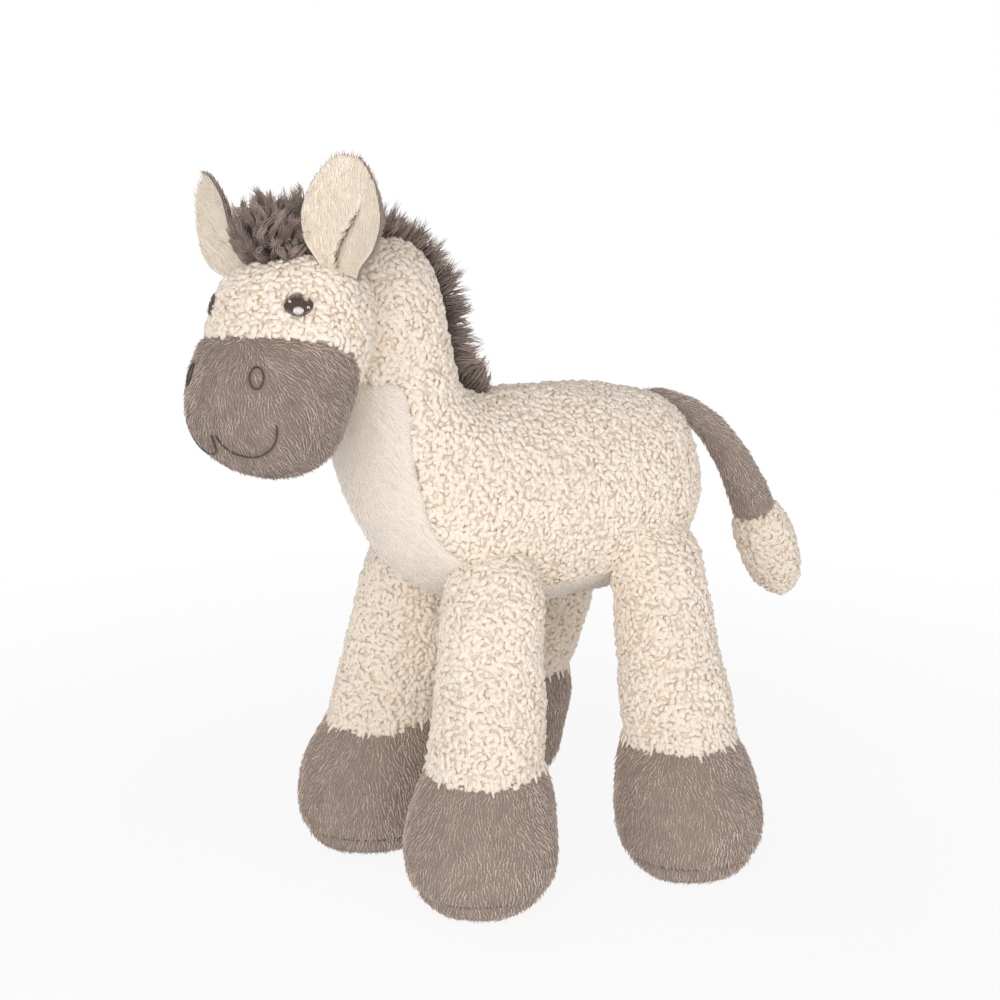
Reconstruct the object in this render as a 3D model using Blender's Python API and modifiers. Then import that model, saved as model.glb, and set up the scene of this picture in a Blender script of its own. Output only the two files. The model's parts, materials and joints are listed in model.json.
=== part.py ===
"""A standing plush horse: sewn covers over fibre fillings, with bending legs, ears, head and tail.

Units are metres. +Z is up, the horse looks along -Y, and its left side is +X.
The origin lies on the ground, under the middle of the toy.
"""
import math

import bmesh
import bpy
from mathutils import Matrix, Vector

UP = Vector((0, 0, 1))
LEFT = Vector((1, 0, 0))
FORWARD = Vector((0, -1, 0))

# Cloth and sewing
seam_gap = 0.0003
filling_gap = 0.0009
cover_thickness = 0.003
cut_overrun = 0.02
weld_distance = 0.00001

# Stance: hips and hooves
hip_height = 0.110
hip_inset = 0.007
hip_ball_margin = 0.0005
swing_away_deg = 25
swing_under_deg = 7
swing_clearance = 0.0008
leg_top_radius = 0.0167
leg_hem_radius = 0.0206
hem_height = 0.046
hoof_radius = 0.0272
hoof_height = 0.054
sole_seam_height = 0.009
tread_depth = 0.0005
front_left_hoof_out = 0.0184
front_left_hoof_ahead = 0.0173
front_right_hoof_out = -0.0009
front_right_hoof_ahead = 0.0214
hind_hoof_out = 0.033
hind_left_hoof_ahead = 0.0076
hind_right_hoof_ahead = 0.0122

# Torso
torso_middle = 0.0032
torso_length = 0.140
torso_width = 0.068
torso_depth = 0.081
hip_above_belly = 0.019
panel_half_width = 0.024

# Neck and head
neck_radius = 0.024
neck_lean_deg = 12
neck_setback = 0.0085
neck_rise = 0.097
head_turn_deg = 20
head_length = 0.0845
head_height = 0.072
head_width = 0.060
jaw_drop = 0.0525
cup_clearance = 0.0006

# Ears
ear_height = 0.038
ear_width = 0.027
ear_cup_depth = 0.006
ear_front_thickness = 0.0018
ear_back_thickness = 0.0012
ear_root_radius = 0.0045
ear_root_sunk = 0.002
ear_lean_deg = 8
left_ear_outward_deg = 10
right_ear_outward_deg = 31
ear_facing_deg = 22
ear_swing_deg = 20
ear_swing_step_deg = 10
ear_clearance = 0.0005

# Mane and forelock
mane_height = 0.0115
mane_half_width = 0.007
mane_tuft_depth = 0.0045
mane_tufts = 13
forelock_height = 0.026
forelock_lock_radius = 0.0048
forelock_spread_deg = 24
forelock_front_deg = 14
forelock_back_deg = 24
forelock_locks = 11

# Tail
tail_length = 0.074
tail_root_radius = 0.0034
tail_end_radius = 0.0080
tail_root_slope_deg = 7
tail_end_slope_deg = 65
tail_seat_radius = 0.0047
tail_raise_deg = 40
tail_press_deg = 10
tail_thinner = 0.0012
tip_length = 0.0394
tip_sunk = 0.0025
tip_radius = 0.0118

# Embroidery
thread_height = 0.0009
eye_half_width = 0.0047
eye_half_height = 0.0041
nostril_half_width = 0.0030
nostril_half_height = 0.0045
mouth_half_width = 0.012
mouth_half_height = 0.0105
stitch_width = 0.0013

# Shares along the torso: back line (along, up), belly line (along, up), half width.
# "Along" runs from the chest at -0.5 to the rump at 0.5 of the torso's length,
# and "up" from the belly at 0 to the back at 1 of the torso's depth.
TORSO_SHARES = (
    (0.502, 0.74, 0.502, 0.40, 0.16),
    (0.455, 0.87, 0.470, 0.17, 0.37),
    (0.345, 0.945, 0.330, 0.03, 0.47),
    (0.180, 1.00, 0.150, 0.00, 0.50),
    (0.010, 1.00, -0.040, 0.01, 0.50),
    (-0.130, 1.00, -0.250, 0.07, 0.49),
    (-0.195, 1.03, -0.410, 0.26, 0.455),
    (-0.235, 1.11, -0.505, 0.55, 0.40),
)
# Rings on the neck's own axis: place along it and radius, as shares of the neck's radius
NECK_SHARES = ((-1.25, 1.04), (-0.60, 1.0), (0.05, 1.0), (0.55, 0.86), (0.88, 0.55))
# Head rings: height, front and back reach from the neck's axis, half width
HEAD_SHARES = (
    (0.995, 0.50, 0.33, 0.15),
    (0.945, 0.65, 0.23, 0.31),
    (0.86, 0.725, 0.16, 0.41),
    (0.735, 0.755, 0.12, 0.455),
    (0.60, 0.86, 0.14, 0.475),
    (0.445, 0.94, 0.22, 0.47),
    (0.295, 0.955, 0.29, 0.46),
    (0.155, 0.88, 0.36, 0.405),
    (0.050, 0.76, 0.43, 0.29),
    (0.005, 0.66, 0.52, 0.14),
)
# The seam between head and muzzle, from the nose to the throat: reach and height
MUZZLE_SEAM_SHARES = (
    (1.40, 0.69), (0.86, 0.68), (0.66, 0.64), (0.48, 0.56), (0.38, 0.43), (0.29, 0.30), (0.10, 0.20),
)
# Leg rings: height from the hem at 0 to the hip at 1, and growth from hip to hem radius
LEG_SHARES = ((1.16, 0.0, 0.50), (1.10, 0.0, 0.85), (0.98, 0.05, 1.05), (0.80, 0.12, 1.01),
              (0.60, 0.42, 1.0), (0.33, 0.78, 1.0), (0.05, 1.0, 1.0), (-0.14, 1.0, 0.97))
# The rings of the leg that the body's cut-out follows
LEG_FAN_ROWS = slice(3, 6)
# Hoof rings: height and radius
HOOF_SHARES = ((1.0, 0.62), (0.84, 0.84), (0.62, 0.975), (0.38, 1.0), (0.20, 0.93), (0.07, 0.74),
               (0.0, 0.46))
# Ear outline: height and half width, from the root to the tip
EAR_OUTLINE_SHARES = ((0.02, 0.22), (0.10, 0.34), (0.24, 0.70), (0.42, 0.95), (0.58, 1.0),
                      (0.74, 0.84), (0.88, 0.50), (0.97, 0.20), (1.0, 0.08))
# Places across the ear, and how far it is cupped at the outline's heights
EAR_COLUMN_SHARES = (-1.0, -0.6, -0.2, 0.2, 0.6, 1.0)
EAR_CUP_SHARES = (0.25, 0.75, 1.0, 0.95, 0.80, 0.55, 0.28, 0.08, 0.0)
# Places of the tail's rings along it
TAIL_SHARES = (0.0, 0.08, 0.30, 0.55, 0.80, 0.96, 1.0)
# The rings of the tail that the body's cut-out follows
TAIL_ROOM_ROWS = slice(0, 3)
# Tail tip rings: place along it and radius
TIP_SHARES = ((0.0, 0.55), (0.06, 0.86), (0.30, 0.98), (0.58, 1.0), (0.82, 0.84), (0.96, 0.50),
              (1.0, 0.25))
hoof_middle_share = 0.42
fan_rise_share = 0.7
fan_top_width_share = 0.75
front_hip_share = -0.207
hind_hip_share = 0.292
tail_root_along_share = 0.437
tail_root_up_share = 0.865
ear_root_across_share = 0.39
ear_root_reach_share = 0.435
ear_root_height_share = 0.925
# Places on the face: reach, height, and across from the middle, where shares of the width are
EYE_PLACE_SHARES = (0.73, 0.84, 0.42)
NOSTRIL_PLACE_SHARES = (0.84, 0.50, 0.235)
# The mouth is two half rings, which meet under the nose
MOUTH_PLACE_SHARES = (0.87, 0.30, 0.17)
forelock_reach_share = 0.53
forelock_height_share = 0.985
forelock_tip_share = 0.2
forelock_side_share = 0.72
# The mane's path down the neck: along the neck's axis and behind it, as shares of the neck's radius
MANE_NECK_SHARES = ((0.96, 0.05), (0.60, 0.62), (-0.10, 1.0))
# and then along the torso, as the torso's own shares
MANE_BACK_SHARES = ((-0.235, 1.11), (-0.150, 0.99))
# Corners of the mane's section: half width and height, and how tufts and ends draw it in
MANE_SECTION_SHARES = ((1.0, -0.55), (1.0, 0.45), (0.45, 1.0), (-0.45, 1.0), (-1.0, 0.45), (-1.0, -0.55))
mane_waist_share = 0.82
mane_end_share = 0.75

# Faceting: cage corners around a form, before one smoothing
crease_deg = 50
torso_sides = 12
head_sides = 12
limb_sides = 8
oval_segments = 16
lining_sides = 10
ball_segments = 16
lathe_segments = 24
lock_sides = 6
tail_steps = 24

# Looks: base colour and roughness of each cloth and thread
FLEECE = ((0.86, 0.78, 0.67), 0.95)
SMOOTH_CREAM = ((0.80, 0.72, 0.60), 0.85)
TAUPE_PLUSH = ((0.34, 0.27, 0.22), 0.9)
SHAGGY_TAUPE = ((0.24, 0.19, 0.16), 0.95)
THREAD = ((0.05, 0.03, 0.025), 0.6)
FIBRE = ((0.93, 0.93, 0.92), 1.0)

# Places that follow from the sizes
belly_height = hip_height - hip_above_belly
hip_spread = torso_width / 2 - hip_inset
hip_ball_radius = leg_top_radius + hip_ball_margin
neck_axis = Vector((0, -math.sin(math.radians(neck_lean_deg)), math.cos(math.radians(neck_lean_deg))))
head_pivot = Vector((0, torso_middle - torso_length / 2 + neck_setback, hip_height + neck_rise))
chin_height = head_pivot.z - jaw_drop


def remove_everything():
    """Empty the scene, whatever it held."""
    for old in list(bpy.data.objects):
        bpy.data.objects.remove(old, do_unlink=True)


def make_collection(name, hidden):
    """A collection in the scene; a hidden one holds cutters."""
    group = bpy.data.collections.new(name)
    bpy.context.scene.collection.children.link(group)
    group.hide_render = hidden
    return group


remove_everything()
toy = make_collection("plush_horse", False)
cutters = make_collection("cutters", True)


def add_cutter(name, mesh):
    """A guide solid, which shapes others and isn't part of the toy."""
    guide = bpy.data.objects.new("guide_" + name, mesh)
    cutters.objects.link(guide)
    guide.hide_render = True
    guide.display_type = "WIRE"
    return guide


def evaluated_mesh(thing):
    """The mesh of an object with its modifiers applied, in its own coordinates."""
    bpy.context.view_layer.update()
    graph = bpy.context.evaluated_depsgraph_get()
    return bpy.data.meshes.new_from_object(thing.evaluated_get(graph))


def bake(thing):
    """Turn an object's modifiers into its own mesh."""
    mesh = evaluated_mesh(thing)
    thing.modifiers.clear()
    thing.data = mesh
    return thing


def ellipse_ring(centre, across, along, half_across, half_along, sides):
    """Corners of an ellipse, with two of them beside each end of its second direction."""
    ring = []
    for step in range(sides):
        turn = 2 * math.pi * (step + 0.5) / sides
        ring.append(centre + across * half_across * math.sin(turn) + along * half_along * math.cos(turn))
    return ring


def slot_ring(centre, across, along, half_across, half_along, ahead, behind, sides):
    """Corners of an oval that is drawn apart along its second direction, ahead and behind."""
    ring = []
    for corner in ellipse_ring(centre, across, along, half_across, half_along, sides):
        forward = (corner - centre).dot(along) > 0
        ring.append(corner + along * (ahead if forward else -behind))
    return ring


def cage_swell(sides):
    """How much a cage is larger than the smooth round form inside it."""
    return 3 / (2 + math.cos(2 * math.pi / sides))


def loft(name, rings, levels):
    """A closed cage over rings of corners, smoothed by subdivision."""
    shape = bmesh.new()
    loops = [[shape.verts.new(corner) for corner in ring] for ring in rings]
    for lower, upper in zip(loops, loops[1:]):
        for here in range(len(lower)):
            there = (here + 1) % len(lower)
            shape.faces.new((lower[here], lower[there], upper[there], upper[here]))
    shape.faces.new(loops[0])
    shape.faces.new(loops[-1])
    bmesh.ops.recalc_face_normals(shape, faces=shape.faces)
    mesh = bpy.data.meshes.new(name)
    shape.to_mesh(mesh)
    shape.free()
    form = add_cutter(name, mesh)
    if levels:
        smooth = form.modifiers.new("smooth", "SUBSURF")
        smooth.levels = levels
        smooth.render_levels = levels
        smooth.use_limit_surface = True
        bake(form)
    return form


def on_surface(form, place):
    """The nearest point of a form's surface, and the direction out of it."""
    bpy.context.view_layer.update()
    _, nearest, outward, _ = form.closest_point_on_mesh(place)
    return nearest, outward


def stuffed_form(name, sections, sides):
    """The outside of a stuffed bag: a cage over oval sections, made smooth."""
    swell = cage_swell(sides)
    rings = [ellipse_ring(centre, across, along, half_across * swell, half_along * swell, sides)
             for centre, across, along, half_across, half_along in sections]
    return loft(name, rings, 1)


def lining(name, sections, sides, inset):
    """The inside of a stuffed bag: the same sections without the end ones, drawn in."""
    inner = sections[1:-1]
    centres = [section[0] for section in inner]
    slack = inset - cover_thickness
    first = (centres[1] - centres[0]).normalized() * slack
    last = (centres[-2] - centres[-1]).normalized() * slack
    centres[0] = centres[0] + first
    centres[-1] = centres[-1] + last
    rings = [ellipse_ring(centre, across, along, half_across - inset, half_along - inset, sides)
             for centre, (_, across, along, half_across, half_along) in zip(centres, inner)]
    return loft(name, rings, 0)


def offset_copy(form, distance, name):
    """A copy of a form, grown outwards by a distance, or shrunk by a negative one."""
    mesh = form.data.copy()
    mesh.name = name
    normals = [corner.vector.copy() for corner in mesh.vertex_normals]
    for vertex, normal in zip(mesh.vertices, normals):
        vertex.co += normal * distance
    return add_cutter(name, mesh)


def combine(thing, other, operation, solver):
    """Join, cut or keep the common part of two solids."""
    change = thing.modifiers.new(operation.lower(), "BOOLEAN")
    change.object = other
    change.operation = operation
    change.solver = solver
    return bake(thing)


def join(thing, other, solver="EXACT"):
    return combine(thing, other, "UNION", solver)


def cut(thing, other, solver="EXACT"):
    return combine(thing, other, "DIFFERENCE", solver)


def keep(thing, other, solver="EXACT"):
    return combine(thing, other, "INTERSECT", solver)


def copy_of(thing, name):
    return add_cutter(name, thing.data.copy())


def box(name, low, high):
    """A box between two corners."""
    bpy.ops.mesh.primitive_cube_add(size=1)
    made = bpy.context.object
    mesh = made.data
    size = Vector(high) - Vector(low)
    middle = (Vector(high) + Vector(low)) / 2
    mesh.transform(Matrix.Translation(middle) @ Matrix.Diagonal((*size, 1)))
    bpy.data.objects.remove(made)
    return add_cutter(name, mesh)


def ball(name, centre, radius, segments):
    """A faceted ball with its corners at the radius."""
    bpy.ops.mesh.primitive_uv_sphere_add(segments=segments, ring_count=segments // 2, radius=radius)
    made = bpy.context.object
    mesh = made.data
    mesh.transform(Matrix.Translation(centre) @ Matrix.Rotation(math.pi / 2, 4, "Y"))
    bpy.data.objects.remove(made)
    return add_cutter(name, mesh)


def clear_radius(radius, gap, segments):
    """Radius of a faceted socket whose flat sides still clear a ball by the gap."""
    flat = math.cos(math.pi / segments)
    return (radius + gap) / (flat * flat)


def prism(name, outline, half_width):
    """A side view outline of (y, z) points, as wide as twice the half width."""
    rings = [[Vector((side * half_width, y, z)) for y, z in outline] for side in (-1, 1)]
    return loft(name, rings, 0)


def rod(name, centre, direction, half_across, half_up, length, segments):
    """An oval rod from its centre outwards and inwards, for cutting patches."""
    across = UP.cross(direction).normalized()
    upward = direction.cross(across).normalized()
    ends = (centre - direction * length / 2, centre + direction * length / 2)
    rings = [ellipse_ring(end, across, upward, half_across, half_up, segments) for end in ends]
    return loft(name, rings, 0)


def faceted(thing):
    """Settle a solid's facets as triangles, so that its mirror image has the same ones."""
    shape = bmesh.new()
    shape.from_mesh(thing.data)
    bmesh.ops.triangulate(shape, faces=shape.faces)
    shape.to_mesh(thing.data)
    shape.free()
    return thing


def mirrored(thing, name):
    """The same solid on the horse's other side."""
    mesh = thing.data.copy()
    mesh.transform(Matrix.Diagonal((-1, 1, 1, 1)))
    mesh.flip_normals()
    return add_cutter(name, mesh)


def joint_empty(name, place, carrier=None):
    """A joint's place, which the pieces that turn on it hang from."""
    empty = bpy.data.objects.new(name, None)
    empty.empty_display_size = seam_gap
    toy.objects.link(empty)
    empty.location = place
    if carrier:
        empty.parent = carrier[0]
        empty.location = place - carrier[1]
    return empty


def add_piece(name, solid, look, carrier=None):
    """Make a solid a named piece of the toy, on its joint, with its own material."""
    mesh = solid.data.copy()
    mesh.name = name
    piece = bpy.data.objects.new(name, mesh)
    toy.objects.link(piece)
    if carrier:
        mesh.transform(Matrix.Translation(-carrier[1]))
        piece.parent = carrier[0]
    mesh.shade_smooth()
    mesh.set_sharp_from_angle(angle=math.radians(crease_deg))
    colour, roughness = look
    material = bpy.data.materials.new(name + "_cloth")
    material.use_nodes = True
    shader = material.node_tree.nodes["Principled BSDF"]
    shader.inputs["Base Color"].default_value = (*colour, 1)
    shader.inputs["Roughness"].default_value = roughness
    shader.inputs["Metallic"].default_value = 0
    material.diffuse_color = (*colour, 1)
    mesh.materials.clear()
    mesh.materials.append(material)
    return piece


def torso_point(along_share, up_share):
    """A point in the middle plane of the torso."""
    return Vector((0, torso_middle + along_share * torso_length, belly_height + up_share * torso_depth))


def head_point(reach_share, height_share, across=0.0):
    """A point of the head as it looks straight ahead, before its turn."""
    reach = head_pivot.y - reach_share * head_length
    return Vector((across, reach, chin_height + height_share * head_height))


def body_sections():
    """Sections of torso and neck, from the rump to the poll."""
    sections = []
    for back_y, back_z, belly_y, belly_z, width_share in TORSO_SHARES:
        back = torso_point(back_y, back_z)
        belly = torso_point(belly_y, belly_z)
        half = (back - belly).length / 2
        upward = (back - belly).normalized()
        sections.append(((back + belly) / 2, LEFT, upward, width_share * torso_width, half))
    backward = neck_axis.cross(LEFT).normalized()
    for place_share, radius_share in NECK_SHARES:
        centre = head_pivot + neck_axis * neck_radius * place_share
        radius = neck_radius * radius_share
        sections.append((centre, LEFT, backward, radius, radius))
    return sections


def head_sections():
    """Sections of cranium and muzzle, one egg that leans forward, from top to chin."""
    sections = []
    for height, front, back, width_share in HEAD_SHARES:
        nose = head_point(front, height)
        nape = head_point(back, height)
        half = (nape - nose).length / 2
        sections.append(((nose + nape) / 2, LEFT, FORWARD, width_share * head_width, half))
    return sections


def neck_cup():
    """What the head leaves free: the neck's own round, grown by the cup's clearance."""
    radius = (neck_radius + cup_clearance) / math.cos(math.pi / lathe_segments)
    arc_steps = lathe_segments // 4
    profile = []
    for step in range(arc_steps + 1):
        turn = math.pi / 2 * step / arc_steps
        profile.append((radius * math.sin(turn), radius * math.cos(turn)))
    profile.append((radius, -jaw_drop - cut_overrun))
    profile.append((0.0, -jaw_drop - cut_overrun))
    mesh = bpy.data.meshes.new("neck_cup")
    mesh.from_pydata([(x, 0, z) for x, z in profile], [(i, i + 1) for i in range(len(profile) - 1)], [])
    cup = add_cutter("neck_cup", mesh)
    turn = cup.modifiers.new("turn", "SCREW")
    turn.steps = lathe_segments
    turn.render_steps = lathe_segments
    turn.use_merge_vertices = True
    turn.merge_threshold = weld_distance
    bake(cup)
    lean = Matrix.Rotation(math.radians(neck_lean_deg), 4, "X")
    cup.data.transform(Matrix.Translation(head_pivot) @ lean)
    return cup


def leg_path(hip, hoof, height):
    """The middle of a leg at a height: straight from the hip, and upright below the hoof's middle."""
    share = (hip.z - max(height, hoof.z)) / (hip.z - hoof.z)
    place = hip + (hoof - hip) * share
    return Vector((place.x, place.y, height))


def leg_sections(hip, hoof):
    """Sections of the leg's tapering tube, from above the hip to inside the hoof."""
    sections = []
    for height_share, growth, fill_share in LEG_SHARES:
        height = hem_height + height_share * (hip_height - hem_height)
        radius = (leg_top_radius + (leg_hem_radius - leg_top_radius) * growth) * fill_share
        sections.append((leg_path(hip, hoof, height), LEFT, FORWARD, radius, radius))
    return sections


def hoof_sections(hip, hoof):
    """Sections of the hoof's ball, from inside the leg's hem to the ground."""
    sections = []
    for height_share, radius_share in HOOF_SHARES:
        height = height_share * hoof_height - tread_depth
        radius = radius_share * hoof_radius
        sections.append((leg_path(hip, hoof, height), LEFT, FORWARD, radius, radius))
    return sections


def leg_room(name, hip, hoof, ahead_deg, behind_deg):
    """What a leg sweeps as it swings: its ball, and a fan of long round slots below it."""
    room = ball(name + "_socket", hip, clear_radius(hip_ball_radius, seam_gap, ball_segments), ball_segments)
    lean = math.atan2(hip.y - hoof.y, hip.z - hoof.z)
    ahead = lean + math.radians(ahead_deg)
    behind = math.radians(behind_deg) - lean
    top = leg_top_radius + swing_clearance
    rise = fan_rise_share * top * math.sin(max(ahead, behind))
    levels = [(-rise, top, fan_top_width_share), (0.0, top, 1.0)]
    for height_share, growth, _ in LEG_SHARES[LEG_FAN_ROWS]:
        drop = (1 - height_share) * (hip_height - hem_height)
        levels.append((drop, top + (leg_hem_radius - leg_top_radius) * growth, 1.0))
    rings = []
    for drop, radius, width_share in levels:
        radius = radius / math.cos(math.pi / ball_segments)
        centre = leg_path(hip, hoof, hip.z - drop)
        centre.y = hip.y
        front, rear = [drop * math.tan(angle) + radius / math.cos(angle) for angle in (ahead, behind)]
        half = min(radius, front, rear)
        rings.append(slot_ring(centre, LEFT, FORWARD, radius * width_share, half, front - half, rear - half,
                               ball_segments))
    return join(room, loft(name + "_fan", rings, 0))


def make_leg(name, hip, hoof):
    """One leg: fleece tube, plush hoof, sole and the filling that runs through them."""
    upper = leg_sections(hip, hoof)
    lower = hoof_sections(hip, hoof)
    inner = upper[:-1] + [section for section in lower if section[0].z < hem_height - cover_thickness]
    cavity = lining(name + "_cavity", inner, lining_sides, cover_thickness)
    filling = lining(name + "_filling", inner, lining_sides, cover_thickness + filling_gap)
    side = hoof_radius + cut_overrun
    low = Vector((hoof.x - side, hoof.y - side, -cut_overrun))

    def slab(low_z, high_z):
        return box(name + "_slab", (low.x, low.y, low_z), (hoof.x + side, hoof.y + side, high_z))

    leg = stuffed_form(name + "_tube", upper, limb_sides)
    leg = join(leg, ball(name + "_ball", hip, hip_ball_radius, ball_segments))
    leg = cut(cut(leg, slab(low.z, hem_height + seam_gap / 2)), cavity)
    foot = stuffed_form(name + "_foot", lower, limb_sides)
    sole = cut(keep(copy_of(foot, name + "_sole"), slab(0.0, sole_seam_height - seam_gap / 2)), cavity)
    hoof_cover = keep(foot, slab(sole_seam_height + seam_gap / 2, hem_height - seam_gap / 2))
    return leg, cut(hoof_cover, cavity), sole, filling


def make_legs():
    """Four legs, each on its own hip joint and standing where its hoof does."""
    rooms = []
    stances = (
        ("front", "left", front_hip_share, front_left_hoof_out, front_left_hoof_ahead),
        ("front", "right", front_hip_share, front_right_hoof_out, front_right_hoof_ahead),
        ("hind", "left", hind_hip_share, hind_hoof_out, hind_left_hoof_ahead),
        ("hind", "right", hind_hip_share, hind_hoof_out, hind_right_hoof_ahead),
    )
    labels = ("leg_cover", "hoof_cover", "sole", "leg_filling")
    looks = (FLEECE, TAUPE_PLUSH, TAUPE_PLUSH, FIBRE)
    for end, side, hip_share, out, ahead in stances:
        name = f"{end}_{side}"
        outward = LEFT if side == "left" else -LEFT
        hip = torso_point(hip_share, 0.0)
        hip = Vector((0, hip.y, hip_height)) + outward * hip_spread
        hoof = hip + outward * out + FORWARD * ahead
        hoof.z = hoof_height * hoof_middle_share
        swing = (swing_away_deg, swing_under_deg) if end == "front" else (swing_under_deg, swing_away_deg)
        rooms.append(leg_room(name, hip, hoof, *swing))
        carrier = (joint_empty(name + "_hip", hip), hip)
        for label, solid, look in zip(labels, make_leg(name, hip, hoof), looks):
            add_piece(f"{name}_{label}", solid, look, carrier)
    return rooms


def tail_point(share):
    """A point of the tail's middle line and its direction, from root at 0 to end at 1.

    The tail leaves the rump almost level, droops fast at first and then hangs ever straighter.
    """
    place = torso_point(tail_root_along_share, tail_root_up_share)
    steps = max(1, round(tail_steps * share))
    stride = tail_length * share / steps
    for step in range(steps + 1):
        walked = share * min(step + 0.5, steps) / steps
        droop = 1 - (1 - walked) ** 2
        slope = math.radians(tail_root_slope_deg + (tail_end_slope_deg - tail_root_slope_deg) * droop)
        direction = Vector((0, math.cos(slope), -math.sin(slope)))
        if step < steps:
            place = place + direction * stride
    return place, direction


def tail_sections():
    """Sections of the tail's tube, from its root to the fleece bag."""
    sections = []
    for share in TAIL_SHARES:
        centre, direction = tail_point(share)
        radius = tail_root_radius + (tail_end_radius - tail_root_radius) * share
        sections.append((centre, LEFT, direction.cross(LEFT), radius, radius))
    return sections


def tip_sections():
    """Sections of the fleece bag, straight on from the tail's end, which it takes in."""
    end, direction = tail_point(1.0)
    sections = []
    for share, radius_share in TIP_SHARES:
        centre = end + direction * (share * tip_length - tip_sunk)
        radius = tip_radius * radius_share
        sections.append((centre, LEFT, direction.cross(LEFT), radius, radius))
    return sections


def tail_room():
    """What the tail's root sweeps as the tail is raised, or pressed to the rump."""
    root, _ = tail_point(0.0)
    segments = ball_segments // 2
    room = ball("tail_room", root, clear_radius(tail_seat_radius, seam_gap, segments), segments)
    raised = math.tan(math.radians(tail_raise_deg))
    pressed = math.tan(math.radians(tail_press_deg))
    rings = []
    for centre, across, along, radius, _ in tail_sections()[TAIL_ROOM_ROWS]:
        wide = (radius + swing_clearance) / math.cos(math.pi / limb_sides)
        far = (centre - root).length
        rings.append(slot_ring(centre, across, along, wide, wide, far * pressed, far * raised, limb_sides))
    return join(room, loft("tail_fan", rings, 0))


def make_tail(carrier):
    """A plush tube that widens to the end, and the fleece bag sewn on there."""
    tube_sections = tail_sections()
    bag_sections = tip_sections()
    end, direction = tail_point(1.0)
    mouth_radius = tail_end_radius / 2
    mouth = rod("tip_mouth", end, direction, mouth_radius, mouth_radius, tip_length / 2, limb_sides)
    bag = stuffed_form("tip_bag", bag_sections, limb_sides)
    bag_room = offset_copy(bag, seam_gap, "tip_room")
    tip = cut(bag, lining("tip_cavity", bag_sections, lining_sides, cover_thickness))
    tip = cut(tip, mouth)
    tip_filling = lining("tip_filling", bag_sections, lining_sides, cover_thickness + filling_gap)
    root, _ = tail_point(0.0)
    cover = stuffed_form("tail_tube", tube_sections, limb_sides)
    cover = join(cover, ball("tail_ball", root, tail_seat_radius, ball_segments // 2))
    cover = cut(cover, bag_room)
    inner = [(centre, across, along, half_across + tail_thinner, half_along + tail_thinner)
             for centre, across, along, half_across, half_along in tube_sections]
    cover = cut(cover, lining("tail_cavity", inner, lining_sides, cover_thickness))
    cover = cut(cover, mouth)
    tail_filling = lining("tail_filling", inner, lining_sides, cover_thickness + filling_gap)
    add_piece("tail_cover", cover, TAUPE_PLUSH, carrier)
    add_piece("tail_filling", cut(tail_filling, bag_room), FIBRE, carrier)
    add_piece("tail_tip_cover", tip, FLEECE, carrier)
    add_piece("tail_tip_filling", tip_filling, FIBRE, carrier)


def panel_prism(name, inset):
    """The region of chest, throat and belly that the smooth panel covers."""
    spine = [
        torso_point(0.38, 0.12), torso_point(0.20, 0.16), torso_point(-0.12, 0.16),
        torso_point(-0.34, 0.42), torso_point(-0.38, 0.75),
        head_pivot - UP * neck_radius,
    ]
    outside = [
        head_pivot + FORWARD * (neck_radius + cut_overrun) - UP * neck_radius,
        Vector((0, -torso_length, belly_height - cut_overrun)),
        torso_point(0.42, 0.0) - UP * cut_overrun,
    ]
    outline = [(corner.y, corner.z) for corner in spine + outside]
    return prism(name, outline, panel_half_width - inset)


def make_body(rooms):
    """Left and right fleece sides, the smooth chest and belly panel, and the filling."""
    sections = body_sections()
    form = stuffed_form("body_form", sections, torso_sides)
    cavity = lining("body_cavity", sections, torso_sides, cover_thickness)
    filling = lining("body_filling", sections, torso_sides, cover_thickness + filling_gap)
    shell = cut(copy_of(form, "body_shell"), cavity)
    # Exact cuts leave open edges where the fans of two legs meet, so these are manifold ones
    for room in rooms + [tail_room()]:
        cut(filling, room, "MANIFOLD")
        cut(shell, room, "MANIFOLD")
    panel = keep(copy_of(shell, "belly_panel"), panel_prism("panel_region", 0.0), "MANIFOLD")
    fleece = cut(shell, panel_prism("panel_room", -seam_gap), "MANIFOLD")
    reach = torso_length + cut_overrun
    half = box("left_half", (seam_gap / 2, -reach, 0), (reach, reach, head_pivot.z + reach))
    left = faceted(keep(fleece, half, "MANIFOLD"))
    add_piece("body_left_cover", left, FLEECE)
    add_piece("body_right_cover", mirrored(left, "body_right"), FLEECE)
    add_piece("chest_belly_panel", panel, SMOOTH_CREAM)
    add_piece("body_filling", filling, FIBRE)
    return form


def muzzle_region(name, lift):
    """Side view region below the muzzle seam, raised or lowered by a gap."""
    seam = [head_point(reach, height) + UP * lift for reach, height in MUZZLE_SEAM_SHARES]
    below = [
        Vector((0, seam[-1].y, chin_height - cut_overrun)),
        Vector((0, seam[0].y, chin_height - cut_overrun)),
    ]
    outline = [(corner.y, corner.z) for corner in seam + below]
    return prism(name, outline, head_width)


def surface_patch(name, form, outline):
    """A thin embroidered patch that lies on a form inside an outline."""
    patch = keep(offset_copy(form, seam_gap + thread_height, name), outline)
    return cut(patch, offset_copy(form, seam_gap, name + "_bed"))


def oval_outline(name, form, shares, half_across, half_up, length):
    """An oval rod square to the left side of the head, where a motif is embroidered."""
    reach_share, height_share, across_share = shares
    place, outward = on_surface(form, head_point(reach_share, height_share, across_share * head_width))
    return rod(name, place, outward, half_across, half_up, length, oval_segments)


def stitched_ring(name, form, shares, half_across, half_up):
    """The outline of an oval line of stitches."""
    outer = oval_outline(name + "_outer", form, shares, half_across, half_up, head_width / 2)
    inner = oval_outline(name + "_inner", form, shares, half_across - stitch_width,
                         half_up - stitch_width, head_width)
    return cut(outer, inner)


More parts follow.
